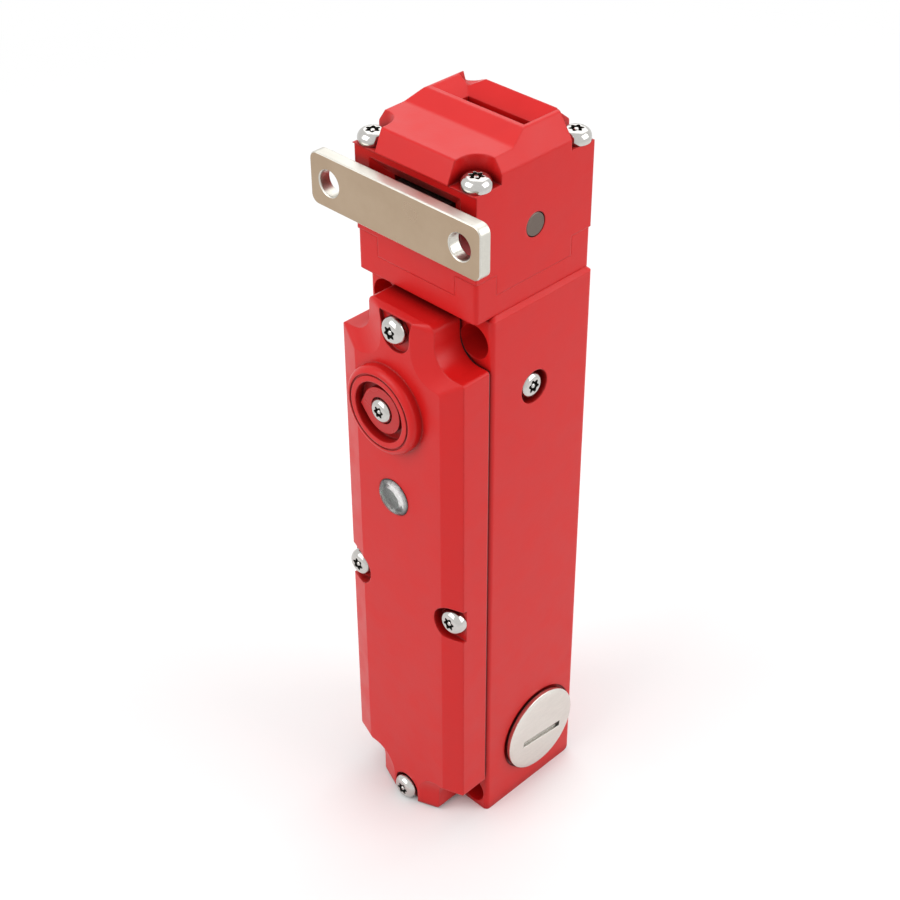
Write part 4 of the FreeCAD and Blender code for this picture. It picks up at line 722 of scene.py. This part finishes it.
black_moulding = skinned("black_moulding", (0.018, 0.018, 0.020), (0.026, 0.026, 0.028),
                         (0.07, 0.07, 0.07), 0.48, grain=0.25, grain_size=2200.0)
cream_moulding = skinned("cream_moulding", (0.62, 0.55, 0.40), (0.68, 0.61, 0.46),
                         (0.78, 0.73, 0.60), 0.42)
brass = turned_metal("contact_brass", (0.66, 0.46, 0.17), (0.84, 0.66, 0.34), 0.28, grain=0.15,
                     streak=(0.2, 1.0, 1.0), streak_size=1400.0)
dress(black_moulding, "contact_block")
dress(cream_moulding, "contact_carrier")
dress(brass, "contact_bridge", "fixed_contacts", "terminal_screws", "earth_screw")


# ---- Conduit plugs -----------------------------------------------------------------------
# Nickel-plated brass blanking plugs screwed into the side entries, turned and lightly buffed,
# with a screwdriver slot across the head.

nickel = turned_metal("nickel_plate", (0.74, 0.71, 0.66), (0.90, 0.88, 0.85), 0.22, grain=0.04,
                      streak=(1.0, 0.25, 1.0), streak_size=1100.0, wear_amount=0.5, edge=0.0003,
                      rough_spread=0.02, pocket_shade=0.9)
dress(nickel, "conduit_plug_left", "conduit_plug_right")


# ---- Floor, light and camera -------------------------------------------------------------
# A white sweep that fades into the background, lit by three large soft boxes and a bright
# room, and seen from the front right and above with a long lens.

white = (1.0, 1.0, 1.0, 1.0)
floor_low = cad_low[2]
floor_reach = 3.0
floor_mesh = bpy.data.meshes.new("floor")
floor_mesh.from_pydata([(x * floor_reach, y * floor_reach, floor_low)
                        for x, y in ((-1, -1), (1, -1), (1, 1), (-1, 1))], [], [(0, 1, 2, 3)])
floor = add_object("floor", floor_mesh)
floor_paint, floor_tree, floor_shader = new_material("white_sweep")
link = floor_tree.links.new
floor_noise = add_node(floor_tree, "ShaderNodeTexNoise", Scale=4.0, Detail=2.0)
floor_tone = two_tone(floor_tree, floor_noise.outputs["Fac"],
                      (0.93, 0.93, 0.93), (0.95, 0.95, 0.95))
floor_path = add_node(floor_tree, "ShaderNodeLightPath")
floor_rays = calculated(floor_tree, "MAXIMUM", floor_path.outputs["Is Camera Ray"],
                        floor_path.outputs["Is Glossy Ray"])
link(two_tone(floor_tree, floor_rays, (0.50, 0.50, 0.50), floor_tone),
     floor_shader.inputs["Base Color"])
floor_place = add_node(floor_tree, "ShaderNodeTexCoord")
floor_away = add_node(floor_tree, "ShaderNodeVectorMath", {"operation": "LENGTH"})
link(floor_place.outputs["Object"], floor_away.inputs[0])
floor_fade = ramp(floor_tree, floor_away.outputs["Value"], 0.16, 0.55)
floor_white = add_node(floor_tree, "ShaderNodeEmission", Color=white, Strength=1.0)
floor_mix = add_node(floor_tree, "ShaderNodeMixShader")
link(calculated(floor_tree, "MULTIPLY", floor_fade, floor_rays), floor_mix.inputs["Fac"])
link(floor_shader.outputs["BSDF"], floor_mix.inputs[1])
link(floor_white.outputs["Emission"], floor_mix.inputs[2])
link(floor_mix.outputs["Shader"], floor_tree.nodes["Material Output"].inputs["Surface"])
floor_shader.inputs["Roughness"].default_value = 0.6
floor_shader.inputs["Specular IOR Level"].default_value = 0.2
floor_mesh.materials.append(floor_paint)


def soft_box(name, power, size, place, target):
    """A square area lamp aimed at a point."""
    lamp_data = bpy.data.lights.new(name, "AREA")
    lamp_data.energy = power
    lamp_data.size = size
    lamp = add_object(name, lamp_data)
    lamp.location = place
    lamp.rotation_euler = (Vector(target) - Vector(place)).to_track_quat("-Z", "Y").to_euler()


middle = (0.0, -0.01, 0.11)
soft_box("front_box", 5.0, 0.80, (-0.25, -0.80, 0.65), middle)
soft_box("right_box", 4.7, 0.80, (0.78, 0.42, 0.55), middle)
soft_box("back_box", 2.8, 0.90, (-0.25, 0.45, 0.85), middle)

world = bpy.data.worlds.new("white room")
world.use_nodes = True
bpy.context.scene.world = world
room_tree = world.node_tree
link = room_tree.links.new
room_light = room_tree.nodes["Background"]
room_light.inputs["Color"].default_value = white
room_light.inputs["Strength"].default_value = 0.60
room_seen = add_node(room_tree, "ShaderNodeBackground", Color=white, Strength=1.0)
room_path = add_node(room_tree, "ShaderNodeLightPath")
room_straight = calculated(room_tree, "MAXIMUM", room_path.outputs["Is Camera Ray"],
                           room_path.outputs["Is Glossy Ray"])
room_rays = calculated(room_tree, "MAXIMUM", room_straight,
                       room_path.outputs["Is Transmission Ray"])
room_mix = add_node(room_tree, "ShaderNodeMixShader")
link(room_rays, room_mix.inputs["Fac"])
link(room_light.outputs["Background"], room_mix.inputs[1])
link(room_seen.outputs["Background"], room_mix.inputs[2])
link(room_mix.outputs["Shader"], room_tree.nodes["World Output"].inputs["Surface"])

camera_down = 36.18
camera_round = 44.9
camera_roll = -0.28
camera_data = bpy.data.cameras.new("camera")
camera_data.lens = 69.86
camera_data.sensor_width = 36.0
camera = add_object("camera", camera_data)
camera.location = (0.24048, -0.25424, 0.35618)
aim = Euler((math.radians(90 - camera_down), 0.0, math.radians(camera_round)), "XYZ")
roll = Euler((0, 0, math.radians(camera_roll)))
camera.rotation_euler = (aim.to_matrix() @ roll.to_matrix()).to_euler()
bpy.context.scene.camera = camera
bpy.context.scene.view_settings.view_transform = "Standard"
